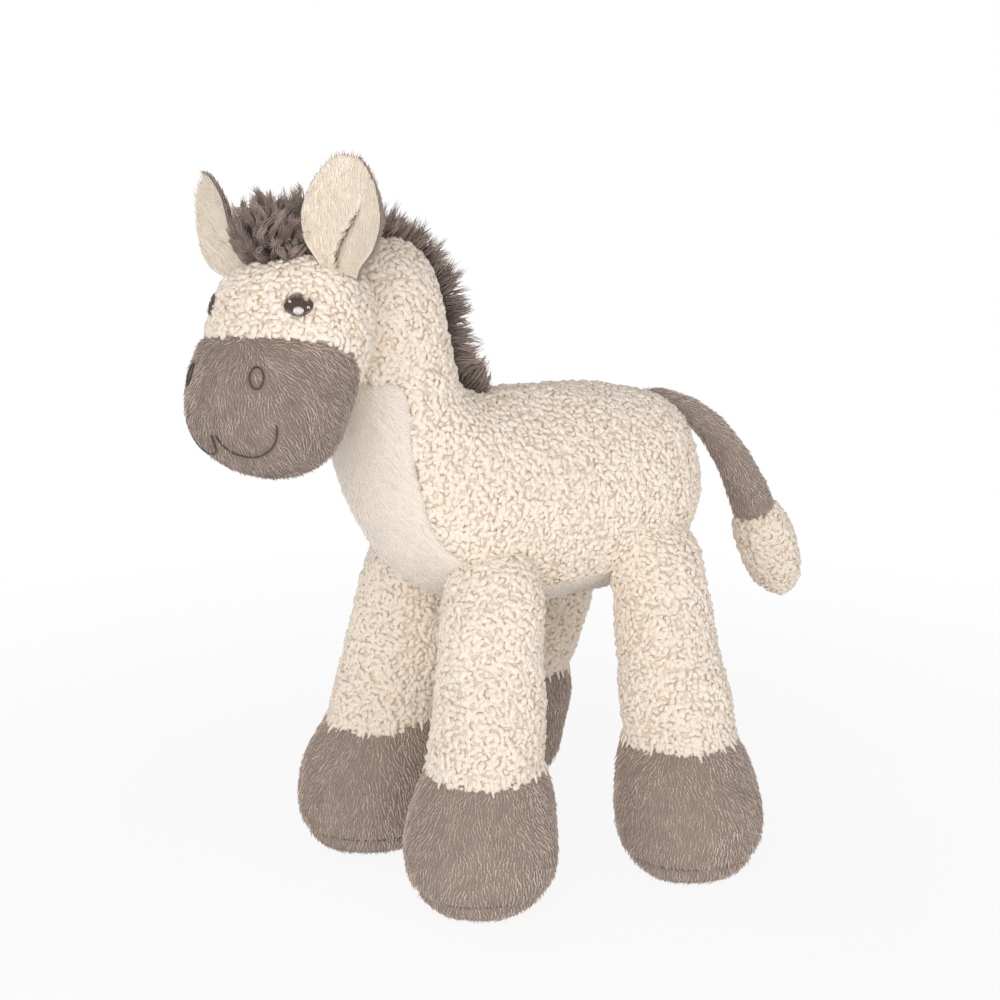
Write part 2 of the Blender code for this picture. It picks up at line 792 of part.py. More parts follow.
def make_face(form, carrier):
    """Embroidered eyes, nostril rings and the mouth line."""
    eye = oval_outline("eye_outline", form, EYE_PLACE_SHARES, eye_half_width, eye_half_height,
                       head_width / 2)
    nostril = stitched_ring("nostril_ring", form, NOSTRIL_PLACE_SHARES, nostril_half_width,
                            nostril_half_height)
    for label, outline in (("eye", eye), ("nostril", nostril)):
        solid = faceted(surface_patch(label, form, outline))
        add_piece("left_" + label, solid, THREAD, carrier)
        add_piece("right_" + label, mirrored(solid, label), THREAD, carrier)
    lobe = stitched_ring("mouth_ring", form, MOUTH_PLACE_SHARES, mouth_half_width, mouth_half_height)
    middle = head_point(*MOUTH_PLACE_SHARES[:2])
    reach = Vector((head_length, head_length, 0))
    cut(lobe, box("mouth_above", middle - reach, middle + reach + UP * head_length))
    lobe = faceted(surface_patch("mouth", form, lobe))
    add_piece("mouth_line", join(lobe, mirrored(lobe, "right_mouth")), THREAD, carrier)


def ear_directions(outward_deg):
    """Directions of an ear on the left: across, towards its front, and up."""
    facing = Matrix.Rotation(math.radians(ear_facing_deg), 3, "Z")
    tilt = Matrix.Rotation(math.radians(outward_deg), 3, "Y")
    lean = Matrix.Rotation(math.radians(ear_lean_deg), 3, "X")
    turned = facing @ tilt @ lean
    return turned @ LEFT, turned @ FORWARD, turned @ UP


def ear_root(head_form):
    """The middle of the left ear's gathered root, a little below the head's surface."""
    near = head_point(ear_root_reach_share, ear_root_height_share, ear_root_across_share * head_width)
    surface, outward = on_surface(head_form, near)
    return surface - outward * ear_root_sunk


def ear_sheet(name, root, directions, side, thickness):
    """One layer of the ear: a cupped leaf, on the front or the back of the seam between them."""
    across, front, upward = directions
    shape = bmesh.new()
    grid = []
    for (height, width), cup in zip(EAR_OUTLINE_SHARES, EAR_CUP_SHARES):
        row = []
        for column in EAR_COLUMN_SHARES:
            sweep = cup * ear_cup_depth * (column * column)
            place = root + across * (column * width * ear_width / 2) + upward * (height * ear_height)
            row.append(shape.verts.new(place + front * sweep))
        grid.append(row)
    for lower, upper in zip(grid, grid[1:]):
        for here in range(len(EAR_COLUMN_SHARES) - 1):
            shape.faces.new((lower[here], lower[here + 1], upper[here + 1], upper[here]))
    shape.normal_update()
    for corner in shape.verts:
        corner.co += corner.normal * side * seam_gap / 2
    mesh = bpy.data.meshes.new(name)
    shape.to_mesh(mesh)
    shape.free()
    sheet = add_cutter(name, mesh)
    wall = sheet.modifiers.new("wall", "SOLIDIFY")
    wall.thickness = thickness
    wall.offset = side
    wall.use_even_offset = True
    return bake(sheet)


def make_ear(head_form, root, outward_deg):
    """An ear on the left: a smooth front and a plush back, gathered in a round root that bends."""
    directions = ear_directions(outward_deg)
    across = directions[0]
    knot = ball("ear_knot", root, ear_root_radius, ball_segments // 2)
    knot_room = ball("ear_knot_room", root, clear_radius(ear_root_radius, seam_gap, ball_segments // 2),
                     ball_segments // 2)
    front = ear_sheet("ear_front", root, directions, 1, ear_front_thickness)
    back = ear_sheet("ear_back", root, directions, -1, ear_back_thickness)
    cut(front, knot_room, "MANIFOLD")
    head_room = offset_copy(head_form, ear_clearance, "head_room")
    for turn in range(-ear_swing_deg, ear_swing_deg + 1, ear_swing_step_deg):
        swung = copy_of(head_room, "head_swung")
        about = Matrix.Rotation(math.radians(turn), 4, across)
        swung.data.transform(Matrix.Translation(root) @ about @ Matrix.Translation(-root))
        cut(front, swung, "MANIFOLD")
        cut(back, swung, "MANIFOLD")
    return faceted(front), faceted(join(back, knot))


def make_ears(head_form, head_carrier):
    """Both ears; the right one leans out further, and is made on the left and mirrored."""
    root = ear_root(head_form)
    for side, sign, outward_deg in (("left", 1, left_ear_outward_deg), ("right", -1, right_ear_outward_deg)):
        place = Vector((sign * root.x, root.y, root.z))
        carrier = (joint_empty(f"{side}_ear_root", place, head_carrier), place)
        front, back = make_ear(head_form, root, outward_deg)
        for label, solid, look in (("front", front, SMOOTH_CREAM), ("back", back, TAUPE_PLUSH)):
            if sign < 0:
                solid = mirrored(solid, label)
            add_piece(f"{side}_ear_{label}", solid, look, carrier)


def make_head(head_carrier):
    """Head covers, muzzle, filling and the embroidered face."""
    sections = head_sections()
    form = stuffed_form("head_form", sections, head_sides)
    shell = cut(copy_of(form, "head_shell"), lining("head_cavity", sections, head_sides, cover_thickness))
    filling = lining("head_filling", sections, head_sides, cover_thickness + filling_gap)
    knot_room = ball("ear_socket", ear_root(form),
                     clear_radius(ear_root_radius, seam_gap, ball_segments // 2), ball_segments // 2)
    for room in (neck_cup(), knot_room, mirrored(knot_room, "right_ear_socket")):
        cut(shell, room)
        cut(filling, room)
    muzzle = keep(copy_of(shell, "muzzle"), muzzle_region("muzzle_below", 0.0))
    crown = cut(shell, muzzle_region("muzzle_room", seam_gap))
    reach = head_length + torso_length
    half = box("head_left_half", (seam_gap / 2, -reach, 0), (reach, reach, head_pivot.z + reach))
    left = faceted(keep(crown, half, "MANIFOLD"))
    add_piece("head_left_cover", left, FLEECE, head_carrier)
    add_piece("head_right_cover", mirrored(left, "head_right"), FLEECE, head_carrier)
    add_piece("muzzle_cover", muzzle, TAUPE_PLUSH, head_carrier)
    add_piece("head_filling", filling, FIBRE, head_carrier)
    make_face(form, head_carrier)
    return form


def make_forelock(head_form, head_carrier):
    """A tuft of pointed locks that fan out from one root between the ears."""
    root = head_point(forelock_reach_share, forelock_height_share)
    tuft = None
    for index in range(forelock_locks):
        aside = 2 * index / (forelock_locks - 1) - 1
        fan = math.radians(forelock_spread_deg) * aside
        pitch = math.radians(forelock_back_deg if index % 2 else -forelock_front_deg)
        direction = Matrix.Rotation(fan, 3, "Y") @ Matrix.Rotation(-pitch, 3, "X") @ UP
        tall = forelock_height * (1 - (1 - forelock_side_share) * aside * aside)
        bpy.ops.mesh.primitive_cone_add(vertices=lock_sides, radius1=forelock_lock_radius,
                                        radius2=forelock_lock_radius * forelock_tip_share, depth=tall)
        made = bpy.context.object
        mesh = made.data
        turn = UP.rotation_difference(direction).to_matrix().to_4x4()
        mesh.transform(Matrix.Translation(root + direction * tall / 2) @ turn)
        bpy.data.objects.remove(made)
        lock = add_cutter("lock", mesh)
        tuft = lock if tuft is None else join(tuft, lock, "MANIFOLD")
    tuft = cut(tuft, offset_copy(head_form, seam_gap, "forelock_seat"), "MANIFOLD")
    add_piece("forelock", tuft, SHAGGY_TAUPE, head_carrier)


def make_mane(body_form):
    """A standing strip of tufts along the neck's crest, from the poll to the withers."""
    path = [head_pivot + (neck_axis * up - FORWARD * behind) * neck_radius
            for up, behind in MANE_NECK_SHARES]
    path += [torso_point(along, up) for along, up in MANE_BACK_SHARES]
    steps = mane_tufts * 2
    rings = []
    for step in range(steps + 1):
        place, direction = spline_point(path, step / steps)
        outward = LEFT.cross(direction).normalized()
        tall = mane_height - (mane_tuft_depth if step % 2 else 0.0)
        tall = tall * (mane_end_share if step in (0, steps) else 1.0)
        wide = mane_half_width * (1.0 if step % 2 else mane_waist_share)
        rings.append([place + LEFT * wide * across + outward * tall * up
                      for across, up in MANE_SECTION_SHARES])
    strip = loft("mane_strip", rings, 0)
    cut(strip, offset_copy(body_form, seam_gap, "mane_seat"))
    add_piece("mane", strip, SHAGGY_TAUPE)


def spline_point(path, share):
    """A point and direction on a smooth curve through the path's points."""
    span = share * (len(path) - 1)
    index = min(int(span), len(path) - 2)
    local = span - index
    before = path[max(index - 1, 0)]
    start = path[index]
    finish = path[index + 1]
    after = path[min(index + 2, len(path) - 1)]
    slope_a = (finish - before) / 2
    slope_b = (after - start) / 2
    square = local * local
    cube = square * local
    place = (start * (2 * cube - 3 * square + 1) + slope_a * (cube - 2 * square + local)
             + finish * (3 * square - 2 * cube) + slope_b * (cube - square))
    direction = (start * (6 * square - 6 * local) + slope_a * (3 * square - 4 * local + 1)
                 + finish * (6 * local - 6 * square) + slope_b * (3 * square - 2 * local))
    return place, direction.normalized()


def build():
    rooms = make_legs()
    body_form = make_body(rooms)
    tail_root, _ = tail_point(0.0)
    make_tail((joint_empty("tail_root", tail_root), tail_root))
    head_empty = joint_empty("head_turn", head_pivot)
    head_empty.rotation_mode = "AXIS_ANGLE"
    head_empty.rotation_axis_angle = (math.radians(head_turn_deg), *neck_axis)
    head_carrier = (head_empty, head_pivot)
    head_form = make_head(head_carrier)
    make_ears(head_form, head_carrier)
    make_forelock(head_form, head_carrier)
    make_mane(body_form)


build()
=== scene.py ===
import json
import math

import bmesh
import bpy
from mathutils import Matrix, Vector, noise
from mathutils.bvhtree import BVHTree
from mathutils.kdtree import KDTree


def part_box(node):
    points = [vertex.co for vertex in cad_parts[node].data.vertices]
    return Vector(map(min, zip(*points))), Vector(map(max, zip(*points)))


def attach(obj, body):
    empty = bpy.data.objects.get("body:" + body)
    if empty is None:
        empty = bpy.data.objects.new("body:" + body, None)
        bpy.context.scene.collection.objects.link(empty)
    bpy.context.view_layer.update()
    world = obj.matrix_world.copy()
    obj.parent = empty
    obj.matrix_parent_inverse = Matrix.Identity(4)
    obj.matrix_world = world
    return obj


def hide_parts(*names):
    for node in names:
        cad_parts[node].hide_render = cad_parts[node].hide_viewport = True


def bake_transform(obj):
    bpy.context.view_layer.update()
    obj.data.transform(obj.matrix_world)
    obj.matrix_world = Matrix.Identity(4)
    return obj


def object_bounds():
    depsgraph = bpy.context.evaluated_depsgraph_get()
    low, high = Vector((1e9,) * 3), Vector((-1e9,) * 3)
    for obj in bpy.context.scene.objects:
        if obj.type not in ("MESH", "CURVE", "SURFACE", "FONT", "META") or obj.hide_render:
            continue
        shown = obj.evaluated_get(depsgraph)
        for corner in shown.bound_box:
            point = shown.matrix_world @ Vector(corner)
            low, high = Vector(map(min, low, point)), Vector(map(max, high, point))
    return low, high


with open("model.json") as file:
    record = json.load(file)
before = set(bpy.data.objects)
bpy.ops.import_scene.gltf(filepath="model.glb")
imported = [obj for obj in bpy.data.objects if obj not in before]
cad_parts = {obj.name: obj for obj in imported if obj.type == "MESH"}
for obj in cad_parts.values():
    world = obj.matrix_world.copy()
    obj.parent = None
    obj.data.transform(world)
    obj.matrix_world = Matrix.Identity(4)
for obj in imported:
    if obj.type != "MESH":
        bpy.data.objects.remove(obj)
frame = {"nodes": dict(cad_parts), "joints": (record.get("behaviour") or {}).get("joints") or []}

cad_low, cad_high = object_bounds()

# The white table
# The toy stands on matt white paper under one large soft lamp beside the camera and an even
# white sky; the paper also glows a little onto the toy, as painted bounce light from below. The camera
# looks at the toy's left side and front from a little above it.
camera_round_deg = 57.0
camera_up_deg = 13.4
camera_distance = 0.755
camera_lens_mm = 75.6
camera_target = Vector((0, -0.0058, 0.1308))
paper_size = 6.0
paper_shine = 0.89
# The share of its glow that the paper still sends onto the toy: painted bounce light
painted_paper_bounce = 0.38
paper_edge = 0.45
sky_strength = 0.26


def view_direction(round_deg, up_deg):
    """Direction from the toy towards a place round it, counted from its nose towards its left."""
    turn, rise = math.radians(round_deg), math.radians(up_deg)
    return Vector((math.sin(turn) * math.cos(rise), -math.cos(turn) * math.cos(rise), math.sin(rise)))


def placed(thing, where, look_at):
    """Stand a camera or lamp somewhere, turned towards a point."""
    bpy.context.scene.collection.objects.link(thing)
    thing.location = where
    thing.rotation_euler = (where - look_at).to_track_quat("Z", "Y").to_euler()
    return thing


camera = bpy.data.cameras.new("camera")
camera.lens = camera_lens_mm
camera.clip_start = camera_distance / 100
bpy.context.scene.camera = placed(bpy.data.objects.new("camera", camera), camera_target
                                  + view_direction(camera_round_deg, camera_up_deg) * camera_distance,
                                  camera_target)
bpy.context.scene.view_settings.view_transform = "Standard"

# Each lamp: direction round and up, distance, size and power
for lamp_name, round_deg, up_deg, away, size, watts in (
        ("key", 42, 24, 1.3, 1.0, 9.9), ("side", 107, 13, 1.4, 1.1, 6.2), ("rim", -70, 40, 1.4, 0.8, 2.0)):
    lamp = bpy.data.lights.new(lamp_name, "AREA")
    lamp.size = size
    lamp.energy = watts
    placed(bpy.data.objects.new(lamp_name, lamp), view_direction(round_deg, up_deg) * away, camera_target)


def seen_directly(tree):
    """1 where the camera, or a reflection or clear material, looks straight at a surface."""
    path = tree.nodes.new("ShaderNodeLightPath")
    either = tree.nodes.new("ShaderNodeMath")
    either.operation = "MAXIMUM"
    tree.links.new(path.outputs["Is Camera Ray"], either.inputs[0])
    also = tree.nodes.new("ShaderNodeMath")
    also.operation = "MAXIMUM"
    tree.links.new(path.outputs["Is Glossy Ray"], also.inputs[0])
    tree.links.new(path.outputs["Is Transmission Ray"], also.inputs[1])
    tree.links.new(also.outputs[0], either.inputs[1])
    return either.outputs[0]


sky = bpy.data.worlds.new("sky")
sky.use_nodes = True
bpy.context.scene.world = sky
sky_tree = sky.node_tree
light_of_sky = sky_tree.nodes["Background"]
light_of_sky.inputs["Color"].default_value = (1, 1, 1, 1)
light_of_sky.inputs["Strength"].default_value = sky_strength
look_of_sky = sky_tree.nodes.new("ShaderNodeBackground")
look_of_sky.inputs["Color"].default_value = (1, 1, 1, 1)
sky_choice = sky_tree.nodes.new("ShaderNodeMixShader")
sky_tree.links.new(seen_directly(sky_tree), sky_choice.inputs[0])
sky_tree.links.new(light_of_sky.outputs[0], sky_choice.inputs[1])
sky_tree.links.new(look_of_sky.outputs[0], sky_choice.inputs[2])
sky_tree.links.new(sky_choice.outputs[0], sky_tree.nodes["World Output"].inputs[0])

bpy.ops.mesh.primitive_plane_add(size=paper_size)
paper = bpy.context.object
paper.name = "paper"
paper_look = bpy.data.materials.new("white_paper")
paper_look.use_nodes = True
paper_tree = paper_look.node_tree
paper_matt = paper_tree.nodes["Principled BSDF"]
paper_matt.inputs["Base Color"].default_value = (0.95, 0.95, 0.95, 1)
paper_matt.inputs["Roughness"].default_value = 1.0
paper_glow = paper_tree.nodes.new("ShaderNodeEmission")
paper_place = paper_tree.nodes.new("ShaderNodeTexCoord")
paper_reach = paper_tree.nodes.new("ShaderNodeVectorMath")
paper_reach.operation = "LENGTH"
paper_tree.links.new(paper_place.outputs["Object"], paper_reach.inputs[0])
paper_fade = paper_tree.nodes.new("ShaderNodeMapRange")
paper_fade.inputs["From Min"].default_value = paper_edge / 3
paper_fade.inputs["From Max"].default_value = paper_edge
paper_fade.inputs["To Min"].default_value = paper_shine
paper_tree.links.new(paper_reach.outputs["Value"], paper_fade.inputs["Value"])
paper_share = paper_tree.nodes.new("ShaderNodeMath")
paper_share.operation = "MULTIPLY"
# The paper glows fully where the camera sees it, and at the bounce share for the light it sends on: painted bounce
# light that lights the toy from below.
paper_least = paper_tree.nodes.new("ShaderNodeMath")
paper_least.operation = "MAXIMUM"
paper_least.inputs[1].default_value = painted_paper_bounce
paper_tree.links.new(seen_directly(paper_tree), paper_least.inputs[0])
paper_tree.links.new(paper_fade.outputs[0], paper_share.inputs[1])
paper_tree.links.new(paper_least.outputs[0], paper_share.inputs[0])
paper_mix = paper_tree.nodes.new("ShaderNodeMixShader")
paper_tree.links.new(paper_share.outputs[0], paper_mix.inputs[0])
paper_tree.links.new(paper_matt.outputs[0], paper_mix.inputs[1])
paper_tree.links.new(paper_glow.outputs[0], paper_mix.inputs[2])
paper_tree.links.new(paper_mix.outputs[0], paper_tree.nodes["Material Output"].inputs[0])
paper.data.materials.append(paper_look)


# The body's stuffed form
# Torso and neck are one bag, cut from a left and a right side and a smooth panel under the belly,
# and stuffed firmly with fibre. It is drawn here as ovals from the rump to the poll.
UP = Vector((0, 0, 1))
LEFT = Vector((1, 0, 0))
FORWARD = Vector((0, -1, 0))
joints = {joint["name"]: joint for joint in frame["joints"]}
hips = {leg: Vector(joints[leg + "_leg_swing"]["pos_m"])
        for leg in ("front_left", "front_right", "hind_left", "hind_right")}
head_pivot = Vector(joints["head_turn"]["pos_m"])
neck_axis = Vector(joints["head_turn"]["axis"])
torso_length = 0.140
torso_width = 0.068
torso_depth = 0.081
hip_above_belly = 0.019
neck_radius = 0.024
front_hip_share = -0.207
torso_middle = hips["front_left"].y - front_hip_share * torso_length
belly_height = hips["front_left"].z - hip_above_belly
torso_sides = 12
# Back line (along, up), belly line (along, up) and half width, as shares of the torso's sizes
TORSO_SHARES = (
    (0.502, 0.74, 0.502, 0.40, 0.16),
    (0.455, 0.87, 0.470, 0.17, 0.37),
    (0.345, 0.945, 0.330, 0.03, 0.47),
    (0.180, 1.00, 0.150, 0.00, 0.50),
    (0.010, 1.00, -0.040, 0.01, 0.50),
    (-0.130, 1.00, -0.250, 0.07, 0.49),
    (-0.195, 1.03, -0.410, 0.26, 0.455),
    (-0.235, 1.11, -0.505, 0.55, 0.40),
)
# Rings on the neck's own axis: place along it and radius, as shares of the neck's radius
NECK_SHARES = ((-1.25, 1.04), (-0.60, 1.0), (0.05, 1.0), (0.55, 0.86), (0.88, 0.55))


def torso_point(along_share, up_share):
    """A point in the middle plane of the torso."""
    return Vector((0, torso_middle + along_share * torso_length, belly_height + up_share * torso_depth))


def body_sections():
    """Ovals of torso and neck: centre, directions and half sizes."""
    sections = []
    for back_y, back_z, belly_y, belly_z, width_share in TORSO_SHARES:
        back, belly = torso_point(back_y, back_z), torso_point(belly_y, belly_z)
        half = (back - belly).length / 2
        sections.append(((back + belly) / 2, LEFT, (back - belly).normalized(),
                         width_share * torso_width, half))
    backward = neck_axis.cross(LEFT).normalized()
    for place_share, radius_share in NECK_SHARES:
        radius = neck_radius * radius_share
        sections.append((head_pivot + neck_axis * neck_radius * place_share, LEFT, backward, radius, radius))
    return sections


def new_object(name, mesh):
    """An object at the origin that shows a mesh."""
    made = bpy.data.objects.new(name, mesh)
    bpy.context.scene.collection.objects.link(made)
    return made


def settled(thing):
    """Apply an object's modifiers to its mesh."""
    bpy.context.view_layer.update()
    mesh = bpy.data.meshes.new_from_object(thing.evaluated_get(bpy.context.evaluated_depsgraph_get()))
    thing.modifiers.clear()
    thing.data = mesh
    return thing


def stuffed_form(name, sections, sides, fineness, inset=0.0):
    """A bag stuffed round: a cage over ovals, smoothed; a positive inset draws it in."""
    swell = 3 / (2 + math.cos(2 * math.pi / sides))
    shape = bmesh.new()
    loops = []
    for centre, across, along, half_across, half_along in sections:
        loop = []
        for step in range(sides):
            turn = 2 * math.pi * (step + 0.5) / sides
            loop.append(shape.verts.new(centre + across * (half_across - inset) * swell * math.sin(turn)
                                        + along * (half_along - inset) * swell * math.cos(turn)))
        loops.append(loop)
    for lower, upper in zip(loops, loops[1:]):
        for here in range(sides):
            there = (here + 1) % sides
            shape.faces.new((lower[here], lower[there], upper[there], upper[here]))
    shape.faces.new(loops[0])
    shape.faces.new(loops[-1])
    bmesh.ops.recalc_face_normals(shape, faces=shape.faces)
    mesh = bpy.data.meshes.new(name)
    shape.to_mesh(mesh)
    shape.free()
    form = new_object(name, mesh)
    smooth = form.modifiers.new("smooth", "SUBSURF")
    smooth.levels = smooth.render_levels = fineness
    smooth.use_limit_surface = True
    return settled(form)


def lumpy(form, height, size, seed):
    """Press soft uneven lumps into a form, as fibre filling leaves them."""
    mesh = form.data
    normals = [corner.vector.copy() for corner in mesh.vertex_normals]
    shift = Vector((seed * size, 0, 0))
    for vertex, normal in zip(mesh.vertices, normals):
        vertex.co += normal * height * noise.noise((vertex.co + shift) / size)
    return form


pile_sink = 0.0012
body_form = stuffed_form("body_form", body_sections(), torso_sides, 3, pile_sink)
lumpy(body_form, 0.0012, 0.022, 1)


# The head's stuffed form
# Cranium and muzzle are one bag, stuffed to an egg that leans forward. It is turned a little to the
# toy's left on the neck, whose end it covers.
head_turn_deg = 20
head_length = 0.0845
head_height = 0.072
head_width = 0.060
jaw_drop = 0.0525
chin_height = head_pivot.z - jaw_drop
head_sides = 12
HEAD_SHARES = (
    (0.995, 0.50, 0.33, 0.15),
    (0.945, 0.65, 0.23, 0.31),
    (0.86, 0.725, 0.16, 0.41),
    (0.735, 0.755, 0.12, 0.455),
    (0.60, 0.86, 0.14, 0.475),
    (0.445, 0.94, 0.22, 0.47),
    (0.295, 0.955, 0.29, 0.46),
    (0.155, 0.88, 0.36, 0.405),
    (0.050, 0.76, 0.43, 0.29),
    (0.005, 0.66, 0.52, 0.14),
)
head_turn = (Matrix.Translation(head_pivot) @ Matrix.Rotation(math.radians(head_turn_deg), 4, neck_axis)
             @ Matrix.Translation(-head_pivot))


def head_point(reach_share, height_share, across_share=0.0):
    """A point of the head in its straight pose."""
    reach = head_pivot.y - reach_share * head_length
    return Vector((across_share * head_width, reach, chin_height + height_share * head_height))


def head_sections():
    """Ovals of the head's egg, from top to chin."""
    sections = []
    for height, front, back, width_share in HEAD_SHARES:
        nose, nape = head_point(front, height), head_point(back, height)
        sections.append(((nose + nape) / 2, LEFT, FORWARD, width_share * head_width,
                         (nape - nose).length / 2))
    return sections


head_form = lumpy(stuffed_form("head_form", head_sections(), head_sides, 4, 0.001), 0.0008, 0.02, 60)
head_form.data.transform(head_turn)


def surface_of(mesh):
    """A search tree of a mesh's surface."""
    return BVHTree.FromPolygons([corner.co for corner in mesh.vertices],
                                [face.vertices for face in mesh.polygons])


def depth_in(surface, place):
    """How deep a place lies under a closed form's surface; below zero outside it."""
    near, outward, _, _ = surface.find_nearest(place)
    return (near - place).dot(outward)


head_surface = surface_of(head_form.data)
body_surface = surface_of(body_form.data)


# Cloth cut and sewn
# Every cover is cut from pile fabric: a knitted backing with a wall of about a millimetre and a half,
# whose edges turn inwards where two pieces are sewn together and draw the stuffed form in.
cloth_wall = 0.0015
seam_reach = 0.0035
seam_draw = 0.0011


def cut_out(form, nodes):
    """Cut a form into open panels: each face goes to the CAD cover that it lies nearest to."""
    trees = {node: surface_of(frame["nodes"][node].data) for node in nodes}
    owners = []
    for face in form.data.polygons:
        centre = face.center
        owners.append(min(nodes, key=lambda node: trees[node].find_nearest(centre)[3]))
    panels = {}
    for node in nodes:
        shape = bmesh.new()
        shape.from_mesh(form.data)
        shape.faces.ensure_lookup_table()
        outwards = {corner: corner.normal.copy() for corner in shape.verts}
        strangers = [face for face in shape.faces if owners[face.index] != node]
        bmesh.ops.delete(shape, geom=strangers, context="FACES")
        trim_edge(shape, outwards)
        mesh = bpy.data.meshes.new(node + "_panel")
        shape.to_mesh(mesh)
        shape.free()
        panels[node] = new_object(node + "_panel", mesh)
    bpy.data.objects.remove(form)
    return panels


def trim_edge(shape, outwards):
    """Smooth a panel's cut edge, and draw the cloth in along it; two panels' edges stay together."""
    edge = [corner for corner in shape.verts if corner.is_boundary]
    if not edge:
        return
    for _ in range(10):
        places = {}
        for corner in edge:
            beside = [rim.other_vert(corner).co for rim in corner.link_edges if rim.is_boundary]
            places[corner] = corner.co * 0.5 + sum(beside, Vector()) / len(beside) * 0.5
        for corner, place in places.items():
            corner.co = place
    rim_tree = KDTree(len(edge))
    for index, corner in enumerate(edge):
        rim_tree.insert(corner.co, index)
    rim_tree.balance()
    moves = []
    for corner in shape.verts:
        distance = rim_tree.find(corner.co)[2]
        if distance < seam_reach:
            draw = (1 - distance / seam_reach) ** 2
            moves.append((corner, -outwards[corner] * seam_draw * draw))
    for corner, move in moves:
        corner.co += move


def dyed(red, green, blue):
    """A dye's colour as it is seen, out of 255, as light adds up."""
    shares = [channel / 255 for channel in (red, green, blue)]
    return tuple(x / 12.92 if x <= 0.04045 else ((x + 0.055) / 1.055) ** 2.4 for x in shares) + (1.0,)


def add(tree, kind, inputs=(), **settings):
    """A node with its settings, whose inputs are given by name as values or as other nodes' outputs."""
    made = tree.nodes.new(kind)
    for key, value in settings.items():
        setattr(made, key, value)
    for key, value in dict(inputs).items():
        if isinstance(key, int):
            socket = made.inputs[key]
        else:
            socket = next(s for s in made.inputs if s.name == key and s.enabled)
        if isinstance(value, bpy.types.NodeSocket):
            tree.links.new(value, socket)
        else:
            socket.default_value = value
    return made


def first(made, name=None):
    """A node's output in use, by name or the first one."""
    return next(s for s in made.outputs if s.enabled and name in (None, s.name))


def pile_tone_group():
    """How a pile's colour varies: fibre by fibre, in broad drifts, and in fine grain for the bump."""
    tree = bpy.data.node_groups.new("pile_tone", "ShaderNodeTree")
    for name, kind in (("Light", "NodeSocketColor"), ("Dark", "NodeSocketColor"),
                       ("Drift Size", "NodeSocketFloat"), ("Grain Size", "NodeSocketFloat"),
                       ("Evenness", "NodeSocketFloat"), ("Fibre Share", "NodeSocketFloat")):
        tree.interface.new_socket(name, in_out="INPUT", socket_type=kind)
    tree.interface.new_socket("Color", in_out="OUTPUT", socket_type="NodeSocketColor")
    tree.interface.new_socket("Height", in_out="OUTPUT", socket_type="NodeSocketFloat")
    given = tree.nodes.new("NodeGroupInput")
    place = add(tree, "ShaderNodeTexCoord").outputs["Object"]
    drift_scale = add(tree, "ShaderNodeMath", {0: 1.0, 1: given.outputs["Drift Size"]}, operation="DIVIDE")
    drift = add(tree, "ShaderNodeTexNoise", {"Vector": place, "Scale": first(drift_scale), "Detail": 2.0})
    grain_scale = add(tree, "ShaderNodeMath", {0: 1.0, 1: given.outputs["Grain Size"]}, operation="DIVIDE")
    grain = add(tree, "ShaderNodeTexNoise", {"Vector": place, "Scale": first(grain_scale), "Detail": 3.0})
    tone = add(tree, "ShaderNodeAttribute", attribute_name="tone")
    fibre = add(tree, "ShaderNodeMath", {0: tone.outputs["Fac"], 1: given.outputs["Fibre Share"]},
                operation="MULTIPLY")
    broad = add(tree, "ShaderNodeMath", {0: drift.outputs["Fac"], 1: 0.75, 2: first(fibre)},
                operation="MULTIPLY_ADD")
    fine = add(tree, "ShaderNodeMath", {0: grain.outputs["Fac"], 1: 0.35, 2: first(broad)},
               operation="MULTIPLY_ADD")
    centred = add(tree, "ShaderNodeMath", {0: first(fine), 1: 0.28}, operation="SUBTRACT")
    lifted = add(tree, "ShaderNodeMath", {0: first(centred), 1: given.outputs["Evenness"]},
                 operation="ADD", use_clamp=True)
    colour = add(tree, "ShaderNodeMix", {"Factor": first(lifted), "A": given.outputs["Dark"],
                                         "B": given.outputs["Light"]}, data_type="RGBA")
    result = tree.nodes.new("NodeGroupOutput")
    tree.links.new(first(colour, "Result"), result.inputs["Color"])
    tree.links.new(grain.outputs["Fac"], result.inputs["Height"])
    return tree


pile_tone = pile_tone_group()


def pile_cloth(name, light, dark, drift_size, grain_size, grain_height, evenness, sheen,
               fibre_share=0.45):
    """A pile fabric's material."""
    look = bpy.data.materials.new(name)
    look.use_nodes = True
    tree = look.node_tree
    shader = tree.nodes["Principled BSDF"]
    tone = add(tree, "ShaderNodeGroup", node_tree=pile_tone)
    tone.inputs["Light"].default_value = dyed(*light)
    tone.inputs["Dark"].default_value = dyed(*dark)
    tone.inputs["Drift Size"].default_value = drift_size
    tone.inputs["Grain Size"].default_value = grain_size
    tone.inputs["Evenness"].default_value = evenness
    tone.inputs["Fibre Share"].default_value = fibre_share
    tree.links.new(tone.outputs["Color"], shader.inputs["Base Color"])
    bump = add(tree, "ShaderNodeBump", {"Height": tone.outputs["Height"], "Distance": grain_height})
    tree.links.new(bump.outputs[0], shader.inputs["Normal"])
    shader.inputs["Roughness"].default_value = 0.9
    shader.inputs["Specular IOR Level"].default_value = 0.2
    shader.inputs["Sheen Weight"].default_value = sheen
    shader.inputs["Sheen Roughness"].default_value = 0.4
    look.diffuse_color = dyed(*light)
    return look


def darkened_along(look, root_colour, start, full):
    """Colour a pile darker where its along attribute is low; its own colour comes in between two shares of its
    height, or at the ears of the distance from the pleat. On the fleece locks this is painted shade between
    the locks over a warmer tint of their own, in the ears' pleat it is painted shade, and on the shaggy hair
    it makes the roots darker than the tips.
    """
    tree = look.node_tree
    shader = tree.nodes["Principled BSDF"]
    along = add(tree, "ShaderNodeAttribute", attribute_name="along")
    share = add(tree, "ShaderNodeMapRange", {"Value": along.outputs["Fac"], "From Min": start,
                                             "From Max": full})
    mixed = add(tree, "ShaderNodeMix", {"Factor": first(share), "A": dyed(*root_colour),
                                        "B": shader.inputs["Base Color"].links[0].from_socket},
                data_type="RGBA")
    tree.links.new(first(mixed, "Result"), shader.inputs["Base Color"])
    return look


